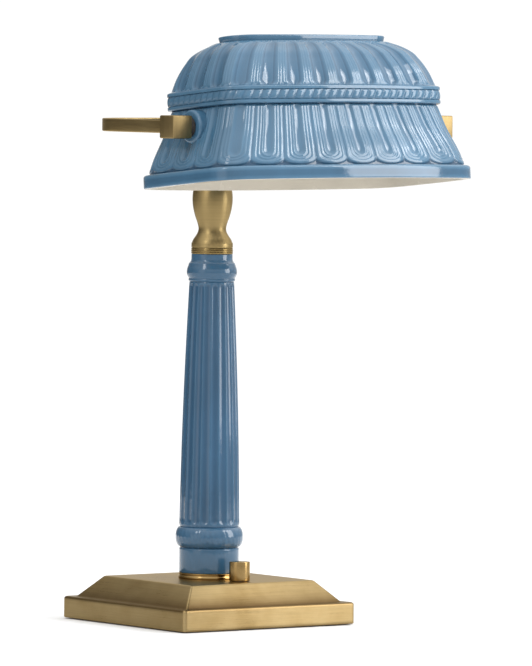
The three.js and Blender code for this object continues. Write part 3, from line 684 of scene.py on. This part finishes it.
def dome_rows():
    """The fluted dome: wide flutes, closed near the plateau, with twin fine ridges between them."""
    bottom, top = DOME[0][0], DOME[-1][0]
    low = bottom - 0.4
    closer_to_top = 1 - (1 - np.linspace(0, 1, 54)) ** 1.6
    heights = low + (top - low) * closer_to_top
    outlines = through(DOME, np.clip(heights, bottom, top))
    below_top = np.zeros(len(heights))
    steps = np.hypot(np.diff(heights), np.diff(outlines[:, 1]))
    below_top[:-1] = np.cumsum(steps[::-1])[::-1]
    for height, down, outline in zip(heights, below_top, outlines):
        _, total = shade_ring(height, *outline)
        pitch = total * 4 / LOBES
        across = lobe_place() * pitch
        above = nested(across, down - 0.6, pitch / 2, *FLUTE_TOP_END)
        below = nested(across, height - bottom + 1.5, pitch / 2, *FLUTE_LOW_END)
        q = np.maximum(above, below)
        relief = through(DOME_RELIEF, q)[:, 0] * min(1.0, 0.25 + down / 9)
        yield shade_ring(height, *outline, relief)[0], channel_tone(q, relief)


def plateau_rows():
    """The flat top: a wall that leans in below its crisp edge, and the face."""
    foot, top = DOME[-1][0], TOP_Z - RIM_Z
    foot_tone, wall_tone, edge_tone, top_tone = PLATEAU_TONES
    yield inset_row(foot + 0.1, PLATEAU, 0.3, foot_tone)
    yield inset_row(foot + 0.5, PLATEAU, PLATEAU_UNDERCUT, wall_tone)
    for t in np.linspace(0, math.pi / 2, 5):
        height = top - PLATEAU_EDGE * (1 - math.sin(t))
        yield inset_row(height, PLATEAU, PLATEAU_EDGE * (1 - math.cos(t)), edge_tone)
    yield inset_row(top, PLATEAU, 3, top_tone)
    yield smooth_row(top, *PLATEAU_MIDDLE, top_tone)


def add_relief(mesh, depths):
    """How far each point stands out in millimetres, or a tone given in its place: the finishes darken low
    values and pale high ones, which in places is painted shade and painted highlight.
    """
    relief = mesh.attributes.new("relief", "FLOAT", "POINT")
    relief.data.foreach_set("value", np.asarray(depths, np.float32))


CAP_POINTS = np.zeros(2)  # the reliefs of the two points that rows_mesh adds to close the ends


def shade():
    """The shell as one skin: down the inside, round the rim, up the skirt, band and dome, over the top."""
    inside = list(inside_rows())
    outside = [*rim_rows(), *skirt_rows(), *band_rows(), *dome_rows(), *plateau_rows()]
    rows = inside + outside
    mesh = rows_mesh("shade_glazed", np.array([row for row, _ in rows]) * MM)
    add_relief(mesh, np.concatenate([depth for _, depth in rows] + [CAP_POINTS]))
    white = np.zeros(len(mesh.polygons), np.int32)
    white[: len(inside) * AROUND] = 1
    ceiling = (len(rows) - 1) * AROUND
    white[ceiling : ceiling + AROUND] = 1
    mesh.transform(FROM_SHADE)
    glazes = [SHADE_GLAZE, INNER_GLAZE]
    finish_piece("shade_glazed", mesh, glazes, "shade_unit", "blue_ceramic", "shade", sharp=50)
    mesh.polygons.foreach_set("material_index", white)


def shade_boss(side, word):
    """The round boss on the shade's end, darkened all over with painted shade, with the pivot's bore left
    open.
    """
    outline = [(PIN_BORE_R, BOSS_ROOT), (BOSS_R, BOSS_ROOT), (BOSS_R, BOSS_FACE)]
    outline += [(PIN_BORE_R + 0.2, BOSS_FACE), (PIN_BORE_R, BOSS_FACE - 0.3)]
    profile = fillet(outline + [outline[0]], BOSS_EDGE, 6)
    mesh = rows_mesh("boss", turned_rows(profile[:-1], 96), closed_section=True)
    add_relief(mesh, np.full(len(mesh.vertices), BOSS_PAINTED_SHADOW))
    mesh.transform(FROM_SHADE @ along_x(side, (0, 0, 0)))
    finish_piece(f"shade_boss_{word}", mesh, [SHADE_GLAZE], "shade_unit", "blue_ceramic")


# ---- column

COLUMN_BORE_R = 8
PLINTH_R = 22.1
PLINTH_TOP = 54.8
LOW_BEAD_R = (21.6, 25)  # where the lower bead springs, and its crest
LOW_BEAD_TOP = 70.2
BEAD_TWISTS = 36  # faint slanting ribs round the lower bead
BEAD_SLANT = 0.22
BEAD_RELIEF = 0.22
COLUMN_JOINT_TONE = -0.6
FLUTES = 20
FLUTE_COLUMNS = 16
SHAFT = (71.6, 250.6)
SHAFT_R = (22.2, 16.5)
SHAFT_SWELL = 0.8
SHAFT_END = 0.06  # share of the shaft at each end where the flutes' round ends need closer rows
FLUTE_DEPTH = 0.85
FLUTE_SHARE = 0.86  # of the pitch is hollow, and the rest is the ridge between two flutes
FLUTE_END = (2.6, 2.4)
COLLAR_R = 15.2
COLLAR_FOOT = 267.4
UPPER_BEAD = [
    (16.2, 250.9), (17.1, 251.5), (17.2, 252.8), (16.8, 253.3), (18.0, 255.2), (18.6, 257.6),
    (18.3, 260.4), (17.2, 263.4), (16.9, 264.6), (16.2, 265.0), (15.5, 266.2),
]


def bead(edge, crest, low, high, steps=14):
    """A half-round bead between two heights."""
    rows = []
    for angle in np.linspace(0, math.pi, steps + 1):
        height = (low + high) / 2 - (high - low) / 2 * math.cos(angle)
        rows.append((edge + (crest - edge) * math.sin(angle), height))
    return rows


def column():
    """Plinth, lower bead, fluted shaft, upper bead and collar, as one glazed casting."""
    _, bottom, top = upright("column")
    around = FLUTES * FLUTE_COLUMNS
    angle = np.arange(around) * 2 * math.pi / around
    across = (np.arange(around) / FLUTE_COLUMNS) % 1 - 0.5
    rows, depths = [], []

    def ring(radius, height, relief=0.0):
        out = radius + relief
        rows.append(np.stack([out * np.cos(angle), out * np.sin(angle), np.full(around, height)], -1))
        depths.append(relief + np.zeros(around))

    plinth = [(COLUMN_BORE_R, bottom), (PLINTH_R, bottom), (PLINTH_R, PLINTH_TOP - 0.6)]
    for radius, height in fillet(plinth + [(PLINTH_R - 0.9, PLINTH_TOP)], 0.7):
        ring(radius, height)
    ring(PLINTH_R - 0.4, PLINTH_TOP + 0.2, COLUMN_JOINT_TONE)
    spring, crest = LOW_BEAD_R
    for radius, height in bead(spring, crest, PLINTH_TOP + 0.4, LOW_BEAD_TOP):
        swell = (radius - spring) / (crest - spring)
        twist = np.abs(np.sin(angle * BEAD_TWISTS / 2 + height * BEAD_SLANT)) ** 0.6
        ring(radius, height, BEAD_RELIEF * swell * (twist - 1))
    ring(PLINTH_R + 0.3, LOW_BEAD_TOP + 0.5, COLUMN_JOINT_TONE)
    shaft_bottom, shaft_top = SHAFT
    low_end = np.linspace(0, SHAFT_END, 16, endpoint=False)
    middle = np.linspace(SHAFT_END, 1 - SHAFT_END, 40)
    for share in np.concatenate([low_end, middle, np.linspace(0.945, 1, 14)]):
        height = shaft_bottom + share * (shaft_top - shaft_bottom)
        taper = (SHAFT_R[1] - SHAFT_R[0]) * share
        radius = SHAFT_R[0] + taper + SHAFT_SWELL * math.sin(math.pi * share)
        half = math.pi * radius / FLUTES
        to_end = min(height - shaft_bottom, shaft_top - height)
        q = nested(across * 2 * half, to_end - 0.6, half, *FLUTE_END)
        hollow = np.clip(1 - (q / FLUTE_SHARE) ** 2, 0, 1) ** 0.8
        ring(radius, height, -FLUTE_DEPTH * hollow)
    for radius, height in fillet(UPPER_BEAD, 0.9, 3):
        ring(radius, height)
    for radius, height in fillet([(COLLAR_R, COLLAR_FOOT), (COLLAR_R, top), (COLUMN_BORE_R, top)], 0.5):
        ring(radius, height)
    mesh = rows_mesh("column_glazed", np.array(rows) * MM, closed_section=True)
    add_relief(mesh, np.concatenate(depths))
    finish_piece("column_glazed", mesh, [SHADOWED_COLUMN_GLAZE], "stand", "blue_ceramic", "column", sharp=50)


# ---- base

LEDGE = 6.6
STEP_Z = 16.4
BLOCK_EDGE = 1.8  # radius of the block's upper edge
BLOCK_FOOT = 0.9  # radius of its lower edge
BLOCK_CORNER = 2.8
SLOPE_CORNER = (1.8, 1.2)  # at the foot of the slope and at its crown
TOP_HALF = 55.4
TOP_EDGE = 0.5
BASE_WALL = 3.0
CORNER_WEAR_AND_HIGHLIGHT = [0, 0, 0, 0.3, 0.55, 0.6, 0.55, 0.3, 0, 0, 0]  # the corners are paler: a painted highlight along them, and patina rubbed off
VALLEY = [(2.2, -0.05, -0.9), (0.8, -0.35, -1.0), (-0.2, -0.1, -1.0)]  # out, up and tone at the slope's foot; the dark tones are painted shade in the crease, with patina


def base():
    """The hollow casting: upright block, ledge, sloped faces and flat top."""
    half, bottom, top = upright("base_shell")
    slope_half = half - LEDGE
    rows, depths = [], []

    def ring(size, height, radius, tone=0.0):
        rows.append(rounded_square(size, radius, height))
        depths.append(tone + np.tile(CORNER_WEAR_AND_HIGHLIGHT, 4))

    ring(TOP_HALF - BASE_WALL, top - BASE_WALL, 1.2)
    ring(slope_half - BASE_WALL, STEP_Z - BASE_WALL, 1.2)
    ring(half - BASE_WALL, STEP_Z - BASE_WALL, 1.5)
    ring(half - BASE_WALL, bottom, 1.5)
    # The block's foot is darker: painted shade along the floor.
    ring(half - BLOCK_FOOT, bottom, 2.2, -0.6)
    for t in np.linspace(0.2, math.pi / 2, 4):
        size = half - BLOCK_FOOT * (1 - math.sin(t))
        ring(size, bottom + BLOCK_FOOT * (1 - math.cos(t)), BLOCK_CORNER, -0.2)
    ring(half, bottom + 2.5, BLOCK_CORNER)
    ring(half, STEP_Z - BLOCK_EDGE - 1.5, BLOCK_CORNER)
    # The block's upper edge darkens towards the ledge: painted shade.
    for t in np.linspace(0, math.pi / 2, 8):
        size = half - BLOCK_EDGE * (1 - math.cos(t))
        ring(size, STEP_Z - BLOCK_EDGE * (1 - math.sin(t)), BLOCK_CORNER, -0.35 - 0.65 * math.sin(t))
    for out, up, tone in VALLEY:
        ring(slope_half + out, STEP_Z + up, 2.2, tone)
    foot, crown = (slope_half - 1.3, STEP_Z + 0.9), (TOP_HALF + 0.5, top - TOP_EDGE)
    foot_corner, crown_corner = SLOPE_CORNER
    # The slope darkens towards its foot: painted shade by the crease, in the patina's brown.
    for t in np.linspace(0, 1, 15):
        size = foot[0] + (crown[0] - foot[0]) * t
        height = foot[1] + (crown[1] - foot[1]) * t
        ring(size, height, foot_corner + (crown_corner - foot_corner) * t, -0.9 * (1 - t) ** 2.5)
    for t in np.linspace(0.2, 1, 4):
        height = top - TOP_EDGE * (1 - math.sin(t * math.pi / 2))
        ring(TOP_HALF + 0.4 - 1.2 * t, height, crown_corner, 0.4)
    ring(TOP_HALF - 4, top, 1.0)
    mesh = rows_mesh("base_casting", np.array(rows) * MM)
    add_relief(mesh, np.concatenate(depths + [CAP_POINTS]))
    finishes = [BASE_BRASS, SHADOWED_TOP_BRASS]
    finish_piece("base_casting", mesh, finishes, "stand", "aged_brass", "base_shell", sharp=40)
    # The flat top takes the darker brass: painted shade.
    for face in mesh.polygons:
        if face.normal.z > 0.95 and face.center.z > (top - 1) * MM:
            face.material_index = 1


def felt():
    """The felt pad, with its edges a little rounded."""
    half, bottom, top = upright("felt_pad")
    edge, corner = 0.3, 1.5
    rows = [rounded_square(half - edge, corner, bottom), rounded_square(half, corner, bottom + edge)]
    rows += [rounded_square(half, corner, top - edge), rounded_square(half - edge, corner, top)]
    mesh = rows_mesh("felt_base", np.array(rows) * MM)
    finish_piece("felt_base", mesh, [FELT], "stand", "felt", "felt_pad")


# ---- turned brass

ROD_BORE_R = 5.4
NECK_BORE_R = 2.7
NECK_FOOT = [(15.3, 279.4), (14.9, 279.7)]  # [radius, height]
NECK_RING = [(7.4, 334.6), (9.6, 334.8), (9.6, 338.6), (7.0, 339.2)]
NECK_SEAT = [(9.4, 354.7), (9.9, 355.4)]
# Rows are [height, radius].
VASE = [
    [279.7, 14.9], [281.7, 14.1], [284.4, 12.3], [287.2, 10.7], [289.9, 10.15], [293.3, 10.8],
    [298.6, 12.6], [305, 14.2], [312, 14.85], [318.5, 14.2], [325, 11.6], [330.4, 8.4], [334, 7.4],
]
STEM = [[340, 6.9], [345, 6.3], [350.5, 6.9], [354.5, 9.4]]
KNOB_BORE_R = 3.05
KNOB_HOLLOW_R = 6.4
KNOB_HOLLOW = 4.4  # depth of the hollow under the knob


def turned_brass(name, profile, material, node):
    """A turned brass ring or tube of the stand, in place of a CAD node."""
    turned(name, profile, material, "stand", "aged_brass", node, segments=128, ring=True)


def foot_ring():
    """The polished ring under the column, with a shallow groove above its foot."""
    radius, bottom, top = upright("foot_ring")
    outline = [(ROD_BORE_R, bottom), (radius, bottom), (radius, bottom + 1.6), (radius - 0.5, bottom + 2.2)]
    profile = fillet(outline + [(radius - 0.2, top), (ROD_BORE_R, top)], 0.5, 3)
    turned_brass("foot_ring_turned", profile, RING_BRASS, "foot_ring")


def ferrule():
    """The ferrule on the column's top, with two turned grooves."""
    radius, bottom, top = upright("ferrule")
    outline = [(ROD_BORE_R, bottom), (radius - 0.2, bottom)]
    for groove in (1.5, 3.0):
        middle = bottom + groove
        outline += [(radius, middle - 0.35), (radius - 0.45, middle), (radius, middle + 0.35)]
    profile = fillet(outline + [(radius - 0.3, top), (ROD_BORE_R, top)], 0.3, 3)
    turned_brass("ferrule_turned", profile, FERRULE_BRASS, "ferrule")


def smooth_profile(points, low, high, steps):
    """[radius, height] pairs along a smooth curve through rows of [height, radius]."""
    heights = np.linspace(low, high, steps)
    return [(radius, height) for height, radius in zip(heights, through(points, heights)[:, 0])]


def neck():
    """The neck: a vase on a foot, a ring, and a waisted stem that carries the hub's seat."""
    _, bottom, top = upright("neck")
    profile = fillet([(NECK_BORE_R, bottom), (NECK_FOOT[0][0], bottom), *NECK_FOOT], 0.6, 3)
    profile += smooth_profile(VASE, 280, 334, 44)
    profile += fillet(NECK_RING, 0.9, 4)
    profile += smooth_profile(STEM, 340, 354, 16)
    profile += fillet([*NECK_SEAT, (NECK_SEAT[1][0], top), (NECK_BORE_R, top)], 0.5, 3)
    turned_brass("neck_turned", profile, TURNED_BRASS, "neck")


def knob():
    """The dimmer's knob, hollow below and bored for its shaft."""
    low, high = box_mm("dimmer_knob")
    x, y, _ = ((low + high) / 2 * MM).tolist()
    radius, bottom, top = (high[0] - low[0]) / 2, low[2], high[2]
    bore_top, hollow_top = top - 4, bottom + KNOB_HOLLOW
    profile = [(0, bore_top), (KNOB_BORE_R, bore_top), (KNOB_BORE_R, hollow_top)]
    profile += [(KNOB_HOLLOW_R, hollow_top), (KNOB_HOLLOW_R, bottom), (radius, bottom)]
    profile = fillet(profile + [(radius, top), (0, top)], 0.6, 4)
    place = Matrix.Translation((x, y, 0))
    turned("knob_turned", profile, RING_BRASS, "dimmer", "aged_brass", "dimmer_knob", place=place)


def cap_nut():
    """The domed nut on top of the hub."""
    radius, bottom, top = upright("cap_nut")
    dome = bottom + 2.2
    profile = [(0, bottom), (radius - 0.3, bottom), (radius, bottom + 0.5), (radius, bottom + 2)]
    for angle in np.linspace(0, math.pi / 2, 10):
        profile.append((radius * 0.92 * math.cos(angle), dome + (top - dome) * math.sin(angle)))
    turned("cap_nut_turned", profile, TURNED_BRASS, "stand", "aged_brass", "cap_nut")


# ---- yoke and pivots

YOKE_THICK = 4.0
YOKE_EDGE = 0.9  # radius of the strap's edges
YOKE_CORNER_R = 42.0


def yoke():
    """One flat strap, bent round the rear of the shade."""
    low, high = box_mm("yoke")
    half_thick, half_tall = YOKE_THICK / 2, (high[2] - low[2]) / 2
    middle_z = (low[2] + high[2]) / 2
    arm_x, arm_end, back_y = high[0] - half_thick, low[1], high[1] - half_thick
    bend_x, bend_y = arm_x - YOKE_CORNER_R, back_y - YOKE_CORNER_R
    before_bend = bend_y - 20

    # Each point of the path is followed by the direction out of the strap's face.
    path = [(-arm_x, arm_end, -1, 0), (-arm_x, before_bend, -1, 0)]
    for side in (-1, 1):
        for t in np.linspace(0, math.pi / 2, 18):
            turn = t if side < 0 else math.pi / 2 - t
            out_x, out_y = side * math.cos(turn), math.sin(turn)
            x, y = side * bend_x + YOKE_CORNER_R * out_x, bend_y + YOKE_CORNER_R * out_y
            path.append((x, y, out_x, out_y))
        if side < 0:
            path.extend([(x, back_y, 0, 1) for x in (-40, 0, 40)])
    path += [(arm_x, before_bend, 1, 0), (arm_x, arm_end, 1, 0)]

    section = rounded_rectangle(half_thick, half_tall, YOKE_EDGE, 4)
    rows = [
        [(x + out * out_x, y + out * out_y, middle_z + up) for out, up in section]
        for x, y, out_x, out_y in path
    ]
    mesh = rows_mesh("yoke_strap", np.array(rows) * MM)
    finish_piece("yoke_strap", mesh, [YOKE_BRASS], "stand", "aged_brass", "yoke", sharp=30)


def pivot_hardware(side, word):
    """The cube on a yoke's end, and the washer between it and the boss."""
    refined(f"pivot_cube_{word}", f"pivot_block_{word}", CUBE_BRASS, "stand", "aged_brass", 0.7, 4)
    washer = f"friction_washer_{word}"
    low, high = box_mm(washer)
    near, far = sorted((abs(low[0]), abs(high[0])))
    radius = (high[2] - low[2]) / 2
    profile = fillet([(PIN_BORE_R, near), (radius, near), (radius, far), (PIN_BORE_R, far)], 0.3, 2)
    place = along_x(side, PIVOT)
    name = f"washer_turned_{word}"
    turned(name, profile, FIBRE, "stand", "fibre", washer, place=place, ring=True)


# ---- fittings inside the shade

NIPPLE_BORE_R = 5.3
SOCKET_BORE_R = 13.6
SOCKET_FLOOR = 12  # thickness of the socket's closed end
BULB_NECK_R = 13
THREAD_TURNS = 6
THREAD_DEPTH = 0.35


def fitting(name, profile, material, slot, node, ring=False):
    """A turned piece that lies along the shade's pivot axis, in place of a CAD node."""
    place = FROM_SHADE @ along_x(1, (0, 0, 0))
    turned(name, profile, material, "shade_unit", slot, node, place=place, ring=ring)


def lamp_socket():
    """The porcelain socket, narrower at its back."""
    low, high = box_in_shade("lamp_socket")
    radius, back, mouth = high[2], low[0], high[0]
    floor = back + SOCKET_FLOOR
    outline = [(NIPPLE_BORE_R, back), (9, back), (radius - 1, back + 4), (radius, back + 8), (radius, mouth)]
    outline += [(SOCKET_BORE_R, mouth), (SOCKET_BORE_R, floor), (NIPPLE_BORE_R, floor)]
    profile = fillet(outline, 0.7, 3)
    fitting("socket_turned", profile, PORCELAIN, "porcelain", "lamp_socket", ring=True)


def bulb():
    """The bulb's envelope: a neck that swells into a tube with a round end."""
    low, high = box_in_shade("bulb_glass")
    radius, start, tip = high[2], low[0], high[0]
    swell = start + 4.7
    profile = [(0, start), (BULB_NECK_R - 0.4, start), (BULB_NECK_R, swell)]
    for t in np.linspace(0.2, math.pi, 10):
        out = BULB_NECK_R + (radius - BULB_NECK_R) * (1 - math.cos(t)) / 2
        profile.append((out, swell + 12 * t / math.pi))
    for t in np.linspace(0, math.pi / 2, 16):
        profile.append((radius * math.cos(t), tip - radius + radius * math.sin(t)))
    fitting("bulb_envelope", profile, BULB_GLASS, "bulb_glass", "bulb_glass")


def bulb_thread():
    """The bulb's screw cap. Its thread is drawn as rings."""
    low, high = box_in_shade("bulb_cap")
    radius, start, end = high[2], low[0], high[0]
    thread = start + 5.5
    profile = [(0, start), (5, start), (8, start + 2), (radius - 0.5, thread)]
    for share in np.linspace(0, 1, 61):
        wave = THREAD_DEPTH * math.sin(share * 2 * math.pi * THREAD_TURNS)
        profile.append((radius - THREAD_DEPTH + wave, thread + (end - thread) * share))
    profile.append((0, end))
    fitting("bulb_thread", profile, NICKEL, "nickel", "bulb_cap")


# ---- CAD pieces that stay

KEPT = {"counterweight": IRON, "dimmer_body": PLASTIC}
STEEL_PIECES = ["bottom_plate", "centre_rod", "rod_washer", "rod_nut", "dimmer_nut", "dimmer_shaft"]
STEEL_PIECES += ["strap_screw", "holder_screw", "socket_nipple", "nipple_nut"]
STEEL_PIECES += ["socket_bracket", "socket_holder"]
STEEL_PIECES += [f"base_screw_{i}" for i in (1, 2, 3, 4)]
STEEL_PIECES += [f"{kind}_{word}" for kind in ("pivot_pin", "spring_washer") for word in ("left", "right")]
KEPT.update({name: STEEL for name in STEEL_PIECES})


def paint_kept():
    """The looks of the CAD pieces that no piece above stands for."""
    for name, material in KEPT.items():
        node = NODES[name]
        if not node.material_slots:
            node.data.materials.append(material)
        for each in node.material_slots:
            each.material = material


# ---- camera, floor and light

# The camera stands in front of the lamp, towards -X, in metres and degrees.
CAMERA_AZIMUTH = -35.853
CAMERA_DISTANCE = 5.31495
CAMERA_HEIGHT = 0.44257
CAMERA_PAN = 0.435
CAMERA_PITCH = -2.470
CAMERA_ROLL = 0.60
SENSOR = 36.0  # spans the frame's height
FOCAL_LENGTH = 390.054
UP = Vector((0, 0, 1))


def swing(one, other, degrees):
    """Two perpendicular directions, turned in their own plane, the first towards the second."""
    angle = math.radians(degrees)
    cos, sin = math.cos(angle), math.sin(angle)
    return one * cos + other * sin, other * cos - one * sin


def camera():
    """A long lens, level with the shade's top, panned, pitched and rolled a little."""
    azimuth = math.radians(CAMERA_AZIMUTH)
    ahead = Vector((-math.sin(azimuth), math.cos(azimuth), 0))
    right = Vector((math.cos(azimuth), math.sin(azimuth), 0))
    place = UP * CAMERA_HEIGHT - ahead * CAMERA_DISTANCE
    ahead, right = swing(ahead, right, CAMERA_PAN)
    ahead, over = swing(ahead, UP, CAMERA_PITCH)
    right, over = swing(right, over, CAMERA_ROLL)
    lens = bpy.data.cameras.new("camera")
    lens.sensor_width = SENSOR
    lens.lens = FOCAL_LENGTH
    lens.clip_end = 100
    view = bpy.data.objects.new("camera", lens)
    view.matrix_world = Matrix.Translation(place) @ Matrix((right, over, -ahead)).transposed().to_4x4()
    bpy.context.scene.collection.objects.link(view)
    bpy.context.scene.camera = view


def towards(azimuth, elevation):
    """A direction out from the lamp. Azimuth 0 is in front of it (-Y), 90 is at +X."""
    az, el = math.radians(azimuth), math.radians(elevation)
    return Vector((math.sin(az) * math.cos(el), -math.cos(az) * math.cos(el), math.sin(el)))


LIGHT_DISTANCE = 2.4
LIGHT_AIM = Vector((0, -0.05, 0.25))


def softbox(name, azimuth, elevation, width, height, power):
    """A rectangular light that faces the lamp."""
    out = towards(azimuth, elevation)
    data = bpy.data.lights.new(name, "AREA")
    data.shape = "RECTANGLE"
    data.size, data.size_y = width, height
    data.energy = power
    light = bpy.data.objects.new(name, data)
    light.location = LIGHT_AIM + out * LIGHT_DISTANCE
    light.rotation_euler = (-out).to_track_quat("-Z", "Y").to_euler()
    bpy.context.scene.collection.objects.link(light)


FLOOR_HALF = 1.7
FLOOR_Z = -0.0004


def floor():
    """A plain pale floor, just under the felt."""
    mesh = bpy.data.meshes.new("floor")
    corners = [(x * FLOOR_HALF, y * FLOOR_HALF, FLOOR_Z) for x, y in CORNERS]
    mesh.from_pydata(corners, [], [(0, 1, 2, 3)])
    plane = bpy.data.objects.new("floor", mesh)
    bpy.context.scene.collection.objects.link(plane)
    look = Look("pale_floor")
    tone = look.ramp(look.noise(6, 3), (0.3, 0.74), (0.7, 0.77))
    mesh.materials.append(look.set(Base_Color=tone, Roughness=0.9, Specular_IOR_Level=0.1))


class Room(Tree):
    """The world around the lamp: an even tone plus soft glows in given directions."""

    def __init__(self, tone):
        world = bpy.data.worlds.new("studio")
        bpy.context.scene.world = world
        world.use_nodes = True
        super().__init__(world.node_tree)
        self.nodes.clear()
        self.where = self.add("ShaderNodeTexCoord")
        self.light = self.add("ShaderNodeValue").outputs[0]
        self.light.default_value = tone

    def glow(self, azimuth, elevation, low, high, strength):
        """Adds light that rises smoothly from cosine low to cosine high of the angle to a direction."""
        lean = self.add("ShaderNodeVectorMath", operation="DOT_PRODUCT")
        lean.inputs[1].default_value = towards(azimuth, elevation)
        self.link(self.where.outputs["Generated"], lean.inputs[0])
        total = self.add("ShaderNodeMath")
        self.link(self.light, total.inputs[0])
        self.link(self.span(lean.outputs["Value"], low, high, strength, "SMOOTHSTEP"), total.inputs[1])
        self.light = total.outputs[0]

    def finish(self, backdrop):
        """The lamp sees the room; the camera sees a plain white backdrop."""
        room = self.add("ShaderNodeBackground", Color=(1, 1, 1, 1))
        self.link(self.light, room.inputs["Strength"])
        behind = self.add("ShaderNodeBackground", Color=(1, 1, 1, 1), Strength=backdrop)
        path = self.add("ShaderNodeLightPath")
        choose = self.add("ShaderNodeMixShader")
        out = self.add("ShaderNodeOutputWorld")
        self.link(path.outputs["Is Camera Ray"], choose.inputs[0])
        self.link(room.outputs[0], choose.inputs[1])
        self.link(behind.outputs[0], choose.inputs[2])
        self.link(choose.outputs[0], out.inputs["Surface"])


def studio():
    """A tall window in front on the right, a broad glow round it, and a dim room on the left and behind."""
    room = Room(tone=0.18)
    room.glow(azimuth=42, elevation=62, low=-0.3, high=0.9, strength=0.98)
    room.glow(azimuth=73, elevation=52, low=0.7, high=1.0, strength=0.85)
    room.glow(azimuth=-75, elevation=45, low=0.3, high=1.0, strength=0.75)
    room.glow(azimuth=-84, elevation=0, low=0.92, high=1.0, strength=0.8)
    room.glow(azimuth=142, elevation=6, low=0.8, high=1.0, strength=0.4)
    room.finish(backdrop=1.05)
    softbox("window", azimuth=43.1, elevation=18, width=1.08, height=1.9, power=38)
    softbox("main", azimuth=40, elevation=40, width=1.3, height=0.34, power=6.5)
    softbox("left", azimuth=-78, elevation=34, width=0.45, height=1.0, power=8)
    bpy.context.scene.view_settings.view_transform = "Standard"


# ---- assembly

camera()
floor()
studio()
shade()
shade_boss(-1, "left")
shade_boss(1, "right")
column()
base()
felt()
foot_ring()
ferrule()
neck()
knob()
cap_nut()
yoke()
refined("hub_block", "yoke_hub", YOKE_BRASS, "stand", "aged_brass", 0.6, 3)
pivot_hardware(-1, "left")
pivot_hardware(1, "right")
lamp_socket()
bulb()
bulb_thread()
paint_kept()
